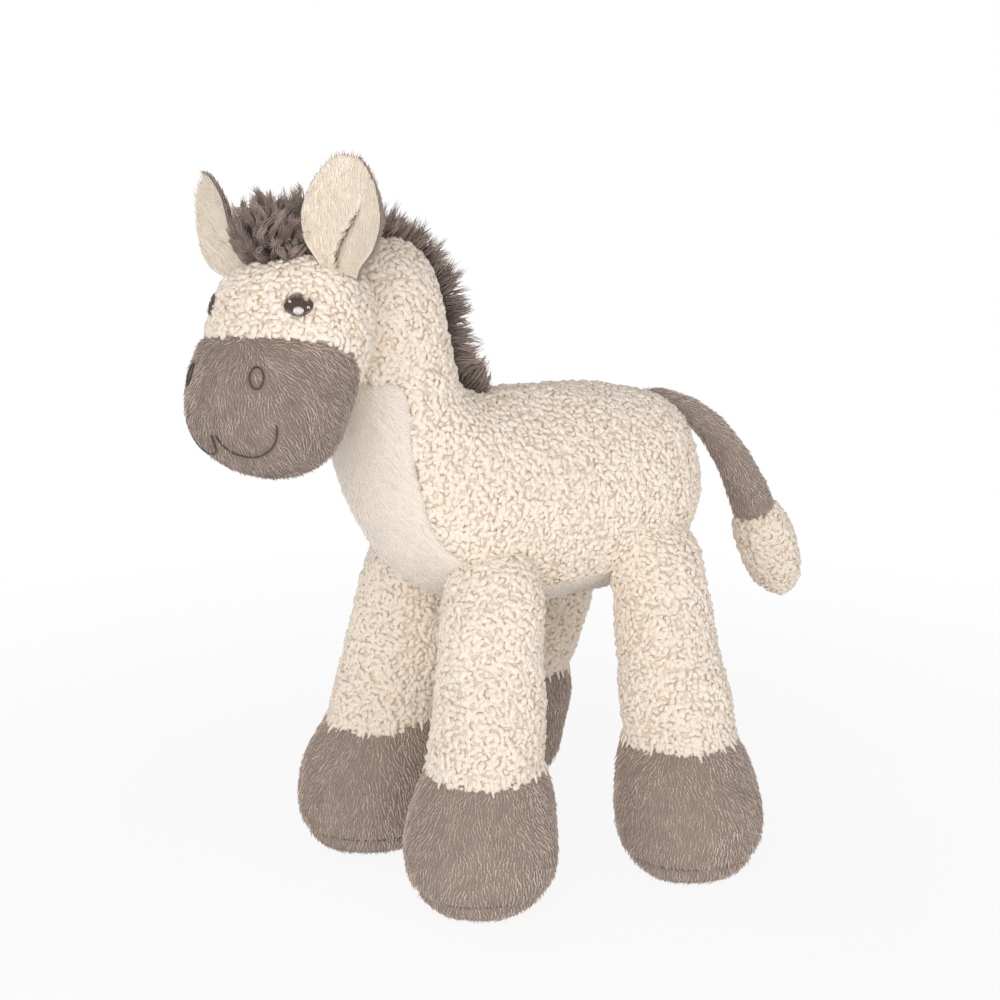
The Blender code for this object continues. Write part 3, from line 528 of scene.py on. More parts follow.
def joined(name, parts):
    """Join objects into one piece under a name."""
    keeper = parts[0]
    if len(parts) > 1:
        with bpy.context.temp_override(active_object=keeper, selected_editable_objects=parts):
            bpy.ops.object.join()
    keeper.name = name
    keeper.data.name = name
    keeper.data.shade_smooth()
    return keeper


def walled(panel, wall):
    """Give an open panel its cloth's thickness, inwards."""
    thick = panel.modifiers.new("wall", "SOLIDIFY")
    thick.thickness = wall
    thick.offset = -1
    return settled(panel)


def grow_pile(cloth, tree, settings, name):
    """Run a pile's node tree over a cloth and return the pile alone, as a plain mesh."""
    grower = new_object(name, cloth.data.copy())
    grower.data.materials.clear()
    modifier = grower.modifiers.new("pile", "NODES")
    modifier.node_group = tree
    for item in tree.interface.items_tree:
        if item.item_type == "SOCKET" and item.in_out == "INPUT" and item.name in settings:
            modifier[item.identifier] = settings[item.name]
    return settled(grower)


def tree_sockets(tree, floats, others=()):
    """Declare a pile tree's inputs and its one output."""
    tree.interface.new_socket("Cloth", in_out="INPUT", socket_type="NodeSocketGeometry")
    for name in floats:
        tree.interface.new_socket(name, in_out="INPUT", socket_type="NodeSocketFloat")
    for name, kind in (("Seed", "NodeSocketInt"), ("Look", "NodeSocketMaterial"), *others):
        tree.interface.new_socket(name, in_out="INPUT", socket_type=kind)
    tree.interface.new_socket("Pile", in_out="OUTPUT", socket_type="NodeSocketGeometry")
    return tree.nodes.new("NodeGroupInput").outputs


def scattered(tree, given):
    """Points spread evenly over a cloth, thinned where its pile attribute is low."""
    square = add(tree, "ShaderNodeMath", {0: given["Spacing"], 1: -2.0}, operation="POWER")
    crowd = add(tree, "ShaderNodeMath", {0: first(square), 1: 3.0}, operation="MULTIPLY")
    cover = add(tree, "GeometryNodeInputNamedAttribute", {"Name": "pile"}, data_type="FLOAT")
    return add(tree, "GeometryNodeDistributePointsOnFaces",
               {"Mesh": given["Cloth"], "Distance Min": given["Spacing"], "Density Max": first(crowd),
                "Density Factor": first(cover), "Seed": given["Seed"]}, distribute_method="POISSON")


def finished(tree, given, points, shape, rotation, low_scale, high_scale):
    """Put a shape on the points, tone each one, and hand out real geometry in its material."""
    size = add(tree, "FunctionNodeRandomValue", {"Min": low_scale, "Max": high_scale, "Seed": 7},
               data_type="FLOAT")
    placed_shapes = add(tree, "GeometryNodeInstanceOnPoints",
                        {"Points": points, "Instance": shape, "Pick Instance": True,
                         "Rotation": rotation, "Scale": first(size)})
    tone = add(tree, "FunctionNodeRandomValue", {"Min": 0.0, "Max": 1.0, "Seed": 11}, data_type="FLOAT")
    toned = add(tree, "GeometryNodeStoreNamedAttribute",
                {"Geometry": first(placed_shapes), "Name": "tone", "Value": first(tone)},
                data_type="FLOAT", domain="INSTANCE")
    real = add(tree, "GeometryNodeRealizeInstances", {"Geometry": first(toned)})
    smooth = add(tree, "GeometryNodeSetShadeSmooth", {"Geometry": first(real)})
    dressed = add(tree, "GeometryNodeSetMaterial", {"Geometry": first(smooth), "Material": given["Look"]})
    tree.links.new(first(dressed), tree.nodes.new("NodeGroupOutput").inputs[0])


def yarn(tree, curve, radius, root_share, tip_power, sides, bulge_power=1.0):
    """A tube along a curve, drawn to a point at its end, or at both ends where the tip's power is 0.

    A bulge power below 1 moves its thickest place towards its root."""
    along = first(add(tree, "GeometryNodeSplineParameter"), "Factor")
    if tip_power:
        left = add(tree, "ShaderNodeMath", {0: 1.0, 1: along}, operation="SUBTRACT")
        taper = add(tree, "ShaderNodeMath", {0: first(left), 1: tip_power}, operation="POWER")
    else:
        early = add(tree, "ShaderNodeMath", {0: along, 1: bulge_power}, operation="POWER")
        half_turn = add(tree, "ShaderNodeMath", {0: first(early), 1: math.pi}, operation="MULTIPLY")
        arch = add(tree, "ShaderNodeMath", {0: first(half_turn)}, operation="SINE", use_clamp=True)
        taper = add(tree, "ShaderNodeMath", {0: first(arch), 1: 0.75}, operation="POWER")
    least = add(tree, "ShaderNodeMath", {0: first(taper), 1: root_share}, operation="MAXIMUM")
    section = add(tree, "GeometryNodeCurvePrimitiveCircle", {"Resolution": sides, "Radius": radius},
                  mode="RADIUS")
    return first(add(tree, "GeometryNodeCurveToMesh",
                     {"Curve": curve, "Profile Curve": first(section, "Curve"), "Scale": first(least),
                      "Fill Caps": True}))


lock_flatness = 0.74


def fleece_curl_tree():
    """Curly fleece: short fat locks, bent and pointed, that lie over one another in every direction."""
    tree = bpy.data.node_groups.new("fleece_curls", "GeometryNodeTree")
    given = tree_sockets(tree, ("Spacing", "Curl Radius", "Lock Radius", "Tilt"))
    points = scattered(tree, given)
    curls = add(tree, "GeometryNodeJoinGeometry")
    for reach, sweep_deg in ((1.0, 125), (1.5, 85), (0.72, 190)):
        wide = add(tree, "ShaderNodeMath", {0: given["Curl Radius"], 1: reach}, operation="MULTIPLY")
        bend = add(tree, "GeometryNodeCurveArc", {"Resolution": 5, "Radius": first(wide),
                                                  "Sweep Angle": math.radians(sweep_deg)}, mode="RADIUS")
        lock = yarn(tree, first(bend, "Curve"), given["Lock Radius"], 0.10, 0, 5, 0.68)
        half = math.radians(sweep_deg / 2)
        middle = math.sin(half) / half
        back = add(tree, "ShaderNodeVectorMath",
                   {0: (-math.cos(half) * middle, -math.sin(half) * middle, 0.16), "Scale": first(wide)},
                   operation="SCALE")
        centred = add(tree, "GeometryNodeTransform", {"Geometry": lock, "Translation": first(back),
                                                      "Scale": (1, 1, lock_flatness)})
        height = add(tree, "ShaderNodeSeparateXYZ", {0: first(add(tree, "GeometryNodeInputPosition"))})
        along = add(tree, "ShaderNodeMath", {0: height.outputs["Z"], 1: given["Lock Radius"]},
                    operation="DIVIDE")
        rooted_lock = add(tree, "GeometryNodeStoreNamedAttribute",
                          {"Geometry": first(centred), "Name": "along", "Value": first(along)},
                          data_type="FLOAT", domain="POINT")
        single = add(tree, "GeometryNodeGeometryToInstance", {0: first(rooted_lock)})
        tree.links.new(first(single), curls.inputs[0])
    less = add(tree, "ShaderNodeMath", {0: given["Tilt"], 1: -1.0}, operation="MULTIPLY")
    turn = add(tree, "FunctionNodeRandomValue",
               {"Min": first(add(tree, "ShaderNodeCombineXYZ", {"X": first(less), "Y": first(less)})),
                "Max": first(add(tree, "ShaderNodeCombineXYZ", {"X": given["Tilt"], "Y": given["Tilt"],
                                                                "Z": math.tau})),
                "Seed": 3}, data_type="FLOAT_VECTOR")
    rotation = add(tree, "FunctionNodeRotateRotation",
                   {"Rotation": first(points, "Rotation"), "Rotate By": first(turn)}, rotation_space="LOCAL")
    finished(tree, given, first(points, "Points"), first(curls), first(rotation), 0.72, 1.25)
    return tree


def laid_pile_tree():
    """Straight pile: tapered fibres that lean along the cloth's lay."""
    tree = bpy.data.node_groups.new("laid_pile", "GeometryNodeTree")
    given = tree_sockets(tree, ("Spacing", "Fibre Length", "Fibre Radius", "Lean", "Scatter"))
    points = scattered(tree, given)
    lean_cos = add(tree, "ShaderNodeMath", {0: given["Lean"]}, operation="COSINE")
    lean_sin = add(tree, "ShaderNodeMath", {0: given["Lean"]}, operation="SINE")
    out = add(tree, "ShaderNodeMath", {0: first(lean_cos), 1: given["Fibre Length"]}, operation="MULTIPLY")
    up = add(tree, "ShaderNodeMath", {0: first(lean_sin), 1: given["Fibre Length"]}, operation="MULTIPLY")
    half_out = add(tree, "ShaderNodeMath", {0: first(out), 1: 0.4}, operation="MULTIPLY")
    most_up = add(tree, "ShaderNodeMath", {0: first(up), 1: 0.85}, operation="MULTIPLY")
    knee = add(tree, "ShaderNodeCombineXYZ", {"X": first(half_out), "Z": first(most_up)})
    tip = add(tree, "ShaderNodeCombineXYZ", {"X": first(out), "Z": first(up)})
    bend = add(tree, "GeometryNodeCurveQuadraticBezier",
               {"Resolution": 2, "Start": (0, 0, 0), "Middle": first(knee), "End": first(tip)})
    fibre = first(add(tree, "GeometryNodeGeometryToInstance",
                      {0: yarn(tree, first(bend), given["Fibre Radius"], 0.12, 0.7, 3)}))
    lay = add(tree, "GeometryNodeInputNamedAttribute", {"Name": "lay"}, data_type="FLOAT_VECTOR")
    stood = add(tree, "FunctionNodeAlignRotationToVector", {"Vector": first(points, "Normal")}, axis="Z")
    along = add(tree, "FunctionNodeAlignRotationToVector",
                {"Rotation": first(stood), "Vector": first(lay)}, axis="X", pivot_axis="Z")
    least = add(tree, "ShaderNodeMath", {0: given["Scatter"], 1: -1.0}, operation="MULTIPLY")
    swing = add(tree, "FunctionNodeRandomValue",
                {"Min": first(add(tree, "ShaderNodeCombineXYZ", {"Y": first(least), "Z": first(least)})),
                 "Max": first(add(tree, "ShaderNodeCombineXYZ", {"Y": given["Scatter"],
                                                                 "Z": given["Scatter"]})),
                 "Seed": 5}, data_type="FLOAT_VECTOR")
    rotation = add(tree, "FunctionNodeRotateRotation",
                   {"Rotation": first(along), "Rotate By": first(swing)}, rotation_space="LOCAL")
    finished(tree, given, first(points, "Points"), fibre, first(rotation), 0.7, 1.2)
    return tree


def strand_tree(name, root_share, tip_power, sides):
    """Strands: a round thread, lock or hair along each line of points."""
    tree = bpy.data.node_groups.new(name, "GeometryNodeTree")
    given = tree_sockets(tree, ("Strand Radius",))
    lines = add(tree, "GeometryNodeMeshToCurve", {"Mesh": given["Cloth"]})
    tube = yarn(tree, first(lines), given["Strand Radius"], root_share, tip_power, sides)
    real = add(tree, "GeometryNodeRealizeInstances", {"Geometry": tube})
    smooth = add(tree, "GeometryNodeSetShadeSmooth", {"Geometry": first(real)})
    dressed = add(tree, "GeometryNodeSetMaterial", {"Geometry": first(smooth), "Material": given["Look"]})
    tree.links.new(first(dressed), tree.nodes.new("NodeGroupOutput").inputs[0])
    return tree


fleece_curls = fleece_curl_tree()
laid_pile = laid_pile_tree()
stitches = strand_tree("stitches", 0.5, 0, 6)
pointed_locks = strand_tree("pointed_locks", 0.2, 0.5, 5)
hairs = strand_tree("hairs", 0.1, 0.6, 3)


def strands(name, lines, tree, radius, look, tones=None):
    """Lay a strand along each line of points, with its tone and its share of the way to the tip."""
    mesh = bpy.data.meshes.new(name)
    points, edges, tone_of, along_of = [], [], [], []
    for index, line in enumerate(lines):
        start = len(points)
        points += line
        edges += [(start + step, start + step + 1) for step in range(len(line) - 1)]
        tone_of += [tones[index] if tones else 0.5] * len(line)
        along_of += [step / (len(line) - 1) for step in range(len(line))]
    mesh.from_pydata(points, edges, [])
    mesh.attributes.new("tone", "FLOAT", "POINT").data.foreach_set("value", tone_of)
    mesh.attributes.new("along", "FLOAT", "POINT").data.foreach_set("value", along_of)
    pattern = new_object(name + "_pattern", mesh)
    made = grow_pile(pattern, tree, {"Strand Radius": radius, "Look": look}, name)
    bpy.data.objects.remove(pattern)
    return made


def mark_cloth(cloth, cover=None, lay=None):
    """Mark how thick the pile grows at each corner of a cloth, and which way it lies."""
    mesh = cloth.data
    thickness = mesh.attributes.new("pile", "FLOAT", "POINT")
    normals = [corner.vector.copy() for corner in mesh.vertex_normals]
    for index, vertex in enumerate(mesh.vertices):
        thickness.data[index].value = cover(vertex.co, normals[index]) if cover else 1.0
    if lay:
        direction = mesh.attributes.new("lay", "FLOAT_VECTOR", "POINT")
        for index, vertex in enumerate(mesh.vertices):
            wanted = lay(vertex.co)
            normal = normals[index]
            direction.data[index].vector = (wanted - normal * wanted.dot(normal)).normalized()


def clear_of(points, reach):
    """Trim the pile within a reach of some points; it is full again at half as far more."""
    tree = KDTree(len(points))
    for index, point in enumerate(points):
        tree.insert(point, index)
    tree.balance()
    return lambda place, normal: min(1.0, max(0.0, 2 * (tree.find(place)[2] / reach - 1)))


def rim_of(cloth):
    """The points on an open cloth's cut edge."""
    uses = {}
    for face in cloth.data.polygons:
        for edge in face.edge_keys:
            uses[edge] = uses.get(edge, 0) + 1
    on_rim = {corner for edge, count in uses.items() if count == 1 for corner in edge}
    return [cloth.data.vertices[corner].co.copy() for corner in sorted(on_rim)]


# Curly cream fleece
# A knitted backing with loops that are brushed, cut and curled into locks of 3 to 4 mm: cream, with
# warmer shade where the backing shows between the locks, and the locks painted darker towards their roots:
# painted shade between them, over a warmer tint of their own.
fleece_backing = pile_cloth("fleece_backing", (244, 229, 210), (233, 215, 193), 0.012, 0.0009, 0.0006, 0.1,
                            0.2)
# Its locks are painted darker towards their roots: painted shade between the locks, over a warmer tint of their
# own.
fleece_wool = darkened_along(pile_cloth("fleece_wool", (250, 238, 224), (241, 225, 207), 0.02, 0.0007, 0.0003, 0.2,
                                0.3), (239, 221, 199), -0.3, 0.5)
curl_spacing = 0.00152
curl_radius = 0.0018
lock_radius = 0.00128
curl_tilt_deg = 27


def fleece(name, cloth, nodes, seed, wall=cloth_wall, closed=False, cover=None, fringe=()):
    """A fleece-covered piece, made from its cloth panel; it stands for its CAD nodes."""
    mark_cloth(cloth, cover)
    settings = {"Spacing": curl_spacing, "Curl Radius": curl_radius, "Lock Radius": lock_radius,
                "Tilt": math.radians(curl_tilt_deg), "Seed": seed, "Look": fleece_wool}
    curls = grow_pile(cloth, fleece_curls, settings, name + "_curls")
    cloth.data.materials.append(fleece_backing)
    piece = joined(name, [cloth if closed else walled(cloth, wall), curls, *fringe])
    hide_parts(*nodes)
    return piece


# Smooth cream plush
# A short dense pile with a soft sheen, for the chest and belly panel and inside the ears, where it is
# painted a little darker and warmer, as painted shade.
cream_backing = pile_cloth("cream_backing", (248, 239, 228), (234, 221, 205), 0.02, 0.0011, 0.0005, 0.1, 0.2)
cream_pile = pile_cloth("cream_pile", (254, 249, 243), (247, 238, 227), 0.016, 0.0009, 0.0002, 0.2, 0.35,
                        0.3)
# Short taupe plush
# A longer silky pile that lies one way and shows light and dark strokes.
taupe_backing = pile_cloth("taupe_backing", (166, 149, 138), (135, 118, 108), 0.008, 0.0010, 0.0006, 0.0, 0.2)
taupe_pile = pile_cloth("taupe_pile", (224, 205, 192), (136, 118, 107), 0.007, 0.0012, 0.0003, 0.0, 0.35,
                        0.5)
# Hooves and tail use the taupe plush painted paler: painted light that lifts parts the lamps light less
painted_paler_taupe_backing = pile_cloth("painted_paler_taupe_backing", (177, 159, 148), (145, 128, 117), 0.008, 0.0010, 0.0006, 0.0, 0.2)
painted_paler_taupe_pile = pile_cloth("painted_paler_taupe_pile", (238, 220, 206), (150, 132, 120), 0.007, 0.0012, 0.0003, 0.0, 0.35, 0.5)


def plush(name, cloth, nodes, seed, backing, pile, lay, length, spacing, radius,
          lean_deg=11, scatter_deg=12, closed=False, wall=cloth_wall, cover=None):
    """A plush piece, made from its cloth panel; it stands for its CAD nodes."""
    mark_cloth(cloth, cover, lay)
    settings = {"Spacing": spacing, "Fibre Length": length, "Fibre Radius": radius,
                "Lean": math.radians(lean_deg), "Scatter": math.radians(scatter_deg), "Seed": seed,
                "Look": pile}
    fibres = grow_pile(cloth, laid_pile, settings, name + "_pile")
    cloth.data.materials.append(backing)
    piece = joined(name, [cloth if closed else walled(cloth, wall), fibres])
    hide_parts(*nodes)
    return piece


def swirl(place, size, seed):
    """A soft random direction that changes slowly from place to place."""
    return noise.noise_vector(place / size + Vector((seed, 0, 0)))


# Body covers
# The left and right sides are curly fleece, sewn together along the back; the smooth panel runs
# from the throat over the chest to between the hind legs.
body_panels = cut_out(body_form, ["body_left_cover", "body_right_cover", "chest_belly_panel"])


# The head turns from 50 degrees to the right to 10 degrees to the left of where it stands.
head_ways = [Matrix.Translation(head_pivot) @ Matrix.Rotation(math.radians(back), 4, neck_axis)
             @ Matrix.Translation(-head_pivot) for back in (0, 50, -10)]


def bare_in_head(place, normal):
    """No pile grows on the neck where it stays well inside the head, whichever way that turns."""
    if (place - head_pivot).dot(neck_axis) < -neck_radius:
        return 1.0
    return 1.0 if min(depth_in(head_surface, way @ place) for way in head_ways) < 0.004 else 0.0


for side, seed in (("left", 21), ("right", 22)):
    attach(fleece(f"body_{side}_fleece", body_panels[f"body_{side}_cover"], [f"body_{side}_cover"],
                   seed, cover=bare_in_head), "torso")
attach(plush("chest_belly_plush", body_panels["chest_belly_panel"], ["chest_belly_panel", "body_filling"],
              23, cream_backing, cream_pile,
              lambda place: -UP * 0.7 - FORWARD * 0.7 + swirl(place, 0.02, 2) * 0.4 + swirl(place, 0.005, 4) * 0.3,
              0.0024, 0.0010, 0.00023, cover=bare_in_head), "torso")


# Legs and hooves
# Each leg is a fleece tube that widens downwards, gathered over a stuffed plush ball for a hoof. A sole
# disc is sewn under the hoof, and the toy's weight presses it flat.
leg_top_radius = 0.0167
leg_hem_radius = 0.0206
hem_height = 0.046
hip_height = hips["front_left"].z
hoof_radius = 0.0272
hoof_height = 0.054
hoof_middle_share = 0.42
tread_depth = 0.0005
limb_sides = 8
LEG_SHARES = ((1.16, 0.0, 0.50), (1.10, 0.0, 0.85), (0.98, 0.05, 1.05), (0.80, 0.12, 1.01),
              (0.60, 0.42, 1.0), (0.33, 0.78, 1.0), (0.05, 1.0, 1.0), (-0.10, 1.0, 0.97))
HOOF_SHARES = ((1.0, 0.62), (0.84, 0.84), (0.62, 0.975), (0.38, 1.0), (0.20, 0.93), (0.07, 0.74),
               (0.0, 0.46))


def leg_path(hip, hoof, height):
    """The middle of a leg at a height: straight from the hip, and upright below the hoof's middle."""
    share = (hip.z - max(height, hoof.z)) / (hip.z - hoof.z)
    place = hip + (hoof - hip) * share
    return Vector((place.x, place.y, height))


def leg_sections(hip, hoof):
    """Ovals of the leg's tube, from inside the body to inside the hoof."""
    sections = []
    for height_share, growth, fill_share in LEG_SHARES:
        height = hem_height + height_share * (hip_height - hem_height)
        radius = (leg_top_radius + (leg_hem_radius - leg_top_radius) * growth) * fill_share
        sections.append((leg_path(hip, hoof, height), LEFT, FORWARD, radius, radius))
    return sections


def hoof_sections(hip, hoof):
    """Ovals of the hoof's ball, from inside the leg's hem to the ground."""
    sections = []
    for height_share, radius_share in HOOF_SHARES:
        height = height_share * hoof_height - tread_depth
        radius = radius_share * hoof_radius
        sections.append((leg_path(hip, hoof, height), LEFT, FORWARD, radius, radius))
    return sections


hem_locks = 34
hoof_pile_length = 0.0023


def hem_fringe(name, tube, ball, hip, hoof, seed):
    """Pointed locks that hang over the hoof where the leg's hem meets it."""
    noise.seed_set(seed)
    surfaces = surface_of(tube.data), surface_of(ball.data)
    lines, tones = [], []
    for step in range(hem_locks):
        turn = math.tau * (step + 0.6 * noise.random()) / hem_locks
        outward = Vector((math.cos(turn), math.sin(turn), 0))

        def reaches(height):
            """How far leg and hoof reach out at a height."""
            middle = leg_path(hip, hoof, height)
            hits = [surface.ray_cast(middle + outward * 0.1, -outward)[3] for surface in surfaces]
            return [0.1 - hit if hit is not None else 0.0 for hit in hits]

        height = hem_height + 0.014
        while height > hem_height - 0.006 and reaches(height)[1] < reaches(height)[0]:
            height -= 0.0005
        hang = 0.0002 + 0.0030 * noise.random() ** 2.0
        sway = Vector((-outward.y, outward.x, 0)) * 0.0012 * (noise.random() * 2 - 1)
        line = []
        for drop, lift, share in ((-0.0030, 0.0000, 0), (-0.0010, 0.0004, 0.3), (hang * 0.5, 0.0009, 0.7),
                                  (hang, 0.0007, 1.0)):
            low = height - drop
            line.append(leg_path(hip, hoof, low) + outward * (max(reaches(low)) + lift) + sway * share)
        lines.append(line)
        tones.append(noise.random())
    return strands(name, lines, pointed_locks, lock_radius * 0.85, fleece_wool, tones)


for number, (leg, hip) in enumerate(hips.items()):
    sole_low, sole_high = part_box(leg + "_sole")
    hoof = (sole_low + sole_high) / 2
    hoof.z = hoof_height * hoof_middle_share
    tube = stuffed_form(leg + "_tube", leg_sections(hip, hoof), limb_sides, 3, pile_sink)
    lumpy(tube, 0.0011, 0.018, 30 + number)
    ball = stuffed_form(leg + "_ball", hoof_sections(hip, hoof), limb_sides, 3, 0.0007)
    lumpy(ball, 0.0009, 0.02, 40 + number)
    for vertex in ball.data.vertices:
        vertex.co.z = max(vertex.co.z, cad_low.z + 0.0004)
    fringe = hem_fringe(leg + "_fringe", tube, ball, hip, hoof, 35 + number)
    hidden_in_hoof = surface_of(ball.data)
    hidden_in_leg = surface_of(tube.data)

    def leg_pile(place, normal):
        """No pile grows on the tube's ends, deep in the body and inside the hoof."""
        return 0.0 if depth_in(body_surface, place) > 0.009 or depth_in(hidden_in_hoof, place) > 0.0015 else 1.0

    def hoof_pile(place, normal):
        """No pile grows inside the leg's hem, or under the sole, where the toy's weight presses it flat."""
        return 0.0 if depth_in(hidden_in_leg, place) > 0.0015 or place.z < 0.0018 else 1.0

    tube = fleece(leg + "_fleece", tube, [leg + "_leg_cover", leg + "_leg_filling"], 31 + number,
                  closed=True, cover=leg_pile, fringe=[fringe])
    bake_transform(tube)
    parts = cut_out(ball, [leg + "_hoof_cover", leg + "_sole"])
    for label, seed in (("hoof_cover", 41), ("sole", 51)):
        cloth = parts[f"{leg}_{label}"]
        seam_clear = clear_of(rim_of(cloth), 0.0007)
        # The hooves wear the taupe plush painted paler, as painted light.
        piece = plush(f"{leg}_{label.split('_')[0]}_plush", cloth, [f"{leg}_{label}"], seed + number,
                      painted_paler_taupe_backing, painted_paler_taupe_pile,
                      lambda place: -UP + swirl(place, 0.012, 3) * 0.5 + swirl(place, 0.004, 6) * 0.35,
                      hoof_pile_length, 0.00101, 0.00028,
                      cover=lambda place, normal: min(seam_clear(place, normal), hoof_pile(place, normal)))
        for vertex in piece.data.vertices:
            vertex.co.z = max(vertex.co.z, cad_low.z)
        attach(piece, leg + "_leg")


# Head covers
# Left and right fleece sides meet on a seam from the nose to the nape; the round muzzle of taupe plush
# is sewn to them over the nose and along the jaw. The pile is trimmed where the face is stitched.
def face_frame(centre_shares):
    """A place on the head's left side and its directions: out, towards the nape, and up."""
    near = head_point(*centre_shares)
    straight_surface = head_turn.inverted()
    place, outward, _, _ = head_surface.find_nearest(head_turn @ near)
    outward = straight_surface.to_3x3() @ outward
    across = UP.cross(outward).normalized()
    return straight_surface @ place, outward, across, outward.cross(across).normalized()


def on_head(straight_place, outward, lift, side):
    """A point lifted off the head's surface, on the left or mirrored to the right, after the turn."""
    mirror = Matrix.Diagonal((side, 1, 1, 1))
    aim = head_turn @ mirror
    start = aim @ (straight_place + outward * head_width)
    hit = head_surface.ray_cast(start, -(aim.to_3x3() @ outward))
    return hit[0] + hit[1] * lift


def stitched_arc(place_shares, half_width, half_height, first_deg, last_deg, steps, drop, side):
    """Points of an oval's arc on the head; 0 degrees is its top and 90 its side towards the nape."""
    centre, outward, across, up = face_frame(place_shares)
    centre = centre - up * drop
    points = []
    for step in range(steps + 1):
        turn = math.radians(first_deg + (last_deg - first_deg) * step / steps)
        place = centre + across * half_width * math.sin(turn) + up * half_height * math.cos(turn)
        points.append(on_head(place, outward, stitch_lift, side))
    return points


stitch_lift = 0.0006
EYE_SHARES = (0.73, 0.84, 0.42)
NOSTRIL_SHARES = (0.84, 0.50, 0.235)
MOUTH_SHARES = (0.87, 0.30, 0.17)
eye_half_width = 0.0043
eye_half_height = 0.0038
nostril_rings = {side: stitched_arc(NOSTRIL_SHARES, 0.0022, 0.0035, 0, 390, 26, 0.0005, side) for side in (1, -1)}
mouth_arcs = {side: stitched_arc(MOUTH_SHARES, 0.0101, 0.0100, 84, 260, 22, 0.0015, side) for side in (1, -1)}
eye_points = [point for side in (1, -1) for size in (0.3, 0.7, 1.0)
              for point in stitched_arc(EYE_SHARES, eye_half_width * size, eye_half_height * size, 0, 360, 16,
                                        0.0, side)]
clear_of_eyes = clear_of(eye_points, 0.0007)
clear_of_lines = clear_of([point for arcs in (nostril_rings, mouth_arcs) for arc in arcs.values()
                           for point in arc], 0.0011)

head_panels = cut_out(head_form, ["head_left_cover", "head_right_cover", "muzzle_cover"])
for side, seed in (("left", 61), ("right", 62)):
    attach(fleece(f"head_{side}_fleece", head_panels[f"head_{side}_cover"], [f"head_{side}_cover"], seed,
                   cover=clear_of_eyes), "head")
nose_forward = head_turn.to_3x3() @ FORWARD
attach(plush("muzzle_plush", head_panels["muzzle_cover"], ["muzzle_cover", "head_filling"], 63,
              taupe_backing, taupe_pile,
              lambda place: (-UP * 0.9 - nose_forward * 0.55 + swirl(place, 0.014, 5) * 0.6
                             + swirl(place, 0.004, 8) * 0.35),
              0.0024, 0.00090, 0.00026, cover=clear_of_lines), "head")


# Tail
# A plush tube that widens to its end, with a bag of curly fleece sewn on it as a brush.
tail_root = Vector(joints["tail_lift"]["pos_m"])
tail_length = 0.074
tail_root_radius = 0.0034
tail_end_radius = 0.0080
tail_root_slope_deg = 7
tail_end_slope_deg = 65
tip_length = 0.0394
tip_sunk = 0.0025
tip_radius = 0.0118
TIP_SHARES = ((0.0, 0.55), (0.06, 0.86), (0.30, 0.98), (0.58, 1.0), (0.82, 0.84), (0.96, 0.50), (1.0, 0.25))


def tail_point(share):
    """A point of the tail's middle line and its direction, from root at 0 to end at 1."""
    place = tail_root.copy()
    steps = max(1, round(24 * abs(share)))
    for step in range(steps + 1):
        walked = share * min(step + 0.5, steps) / steps
        droop = 1 - (1 - walked) ** 2
        slope = math.radians(tail_root_slope_deg + (tail_end_slope_deg - tail_root_slope_deg) * droop)
        direction = Vector((0, math.cos(slope), -math.sin(slope)))
        if step < steps:
            place = place + direction * tail_length * share / steps
    return place, direction


tail_sections = []
for share in (-0.10, -0.04, 0.06, 0.30, 0.55, 0.80, 0.96, 1.06):
    centre, direction = tail_point(share)
    radius = tail_root_radius + (tail_end_radius - tail_root_radius) * max(share, 0)
    tail_sections.append((centre, LEFT, direction.cross(LEFT), radius, radius))
tail_form = lumpy(stuffed_form("tail_form", tail_sections, limb_sides, 3), 0.0004, 0.01, 70)
# The tail wears the taupe plush painted paler, as painted light.
tail_piece = plush("tail_plush", tail_form, ["tail_cover", "tail_filling"], 71, painted_paler_taupe_backing, painted_paler_taupe_pile,
                   lambda place: (tail_point((place - tail_root).length / tail_length)[1]
                                  + swirl(place, 0.004, 7) * 0.4), 0.0024, 0.0008, 0.00023, closed=True)
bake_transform(tail_piece)
tail_end, tail_direction = tail_point(1.0)
tip_sections = [(tail_end + tail_direction * (share * tip_length - tip_sunk), LEFT,
                 tail_direction.cross(LEFT), tip_radius * radius_share, tip_radius * radius_share)
                for share, radius_share in TIP_SHARES]
tip_form = lumpy(stuffed_form("tip_form", tip_sections, limb_sides, 3, pile_sink), 0.0006, 0.012, 72)
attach(fleece("tail_tip_fleece", tip_form, ["tail_tip_cover", "tail_tip_filling"], 73, closed=True), "tail")


# Ears
# Each ear is a smooth cream leaf and a taupe plush leaf, sewn round their edge, cupped, pleated once
# and gathered into a root that is sewn into the head. The right one leans out further.
ear_height = 0.038
ear_width = 0.027
ear_cup_depth = 0.006
ear_facing_deg = 22
ear_lean_deg = 8
ear_outward_deg = {"left": 10, "right": 34}
ear_layer_gap = 0.0005
ear_wall = 0.0004
# How far the plush back shows beside the cream front, and on which of its edges
EAR_RIMS = {"left": (0.0008, 1), "right": (0.0022, -1)}
pleat_depth = 0.0030
pleat_overlap = 0.0014
pleat_share = 0.66
ear_settle = Vector((0.0008, 0.0019, 0.0008))
EAR_ROWS = ((0.0, 0.42, 0.25), (0.10, 0.52, 0.75), (0.27, 0.85, 1.0), (0.42, 0.97, 0.95), (0.54, 1.0, 0.80),
            (0.70, 0.89, 0.60), (0.80, 0.76, 0.42), (0.91, 0.57, 0.25), (0.97, 0.40, 0.12), (1.0, 0.20, 0.05))


def between(rows, place):
    """Read a table of (place, value, value...) rows at a place, smoothly."""
    for before, after in zip(rows, rows[1:]):
        if place <= after[0]:
            break
    share = min(max((place - before[0]) / (after[0] - before[0]), 0), 1)
    return [a + (b - a) * share for a, b in zip(before[1:], after[1:])]


def softened(rows, place):
    """The same, rounded over its corners."""
    reads = [between(rows, min(max(place + shift, 0), 1)) for shift in (-0.04, -0.02, 0, 0.02, 0.04)]
    return [sum(values) / len(values) for values in zip(*reads)]


def pleat_place(up):
    """Where the pleat runs across the ear, from its root to where it opens."""
    return -0.60 + 1.55 * up


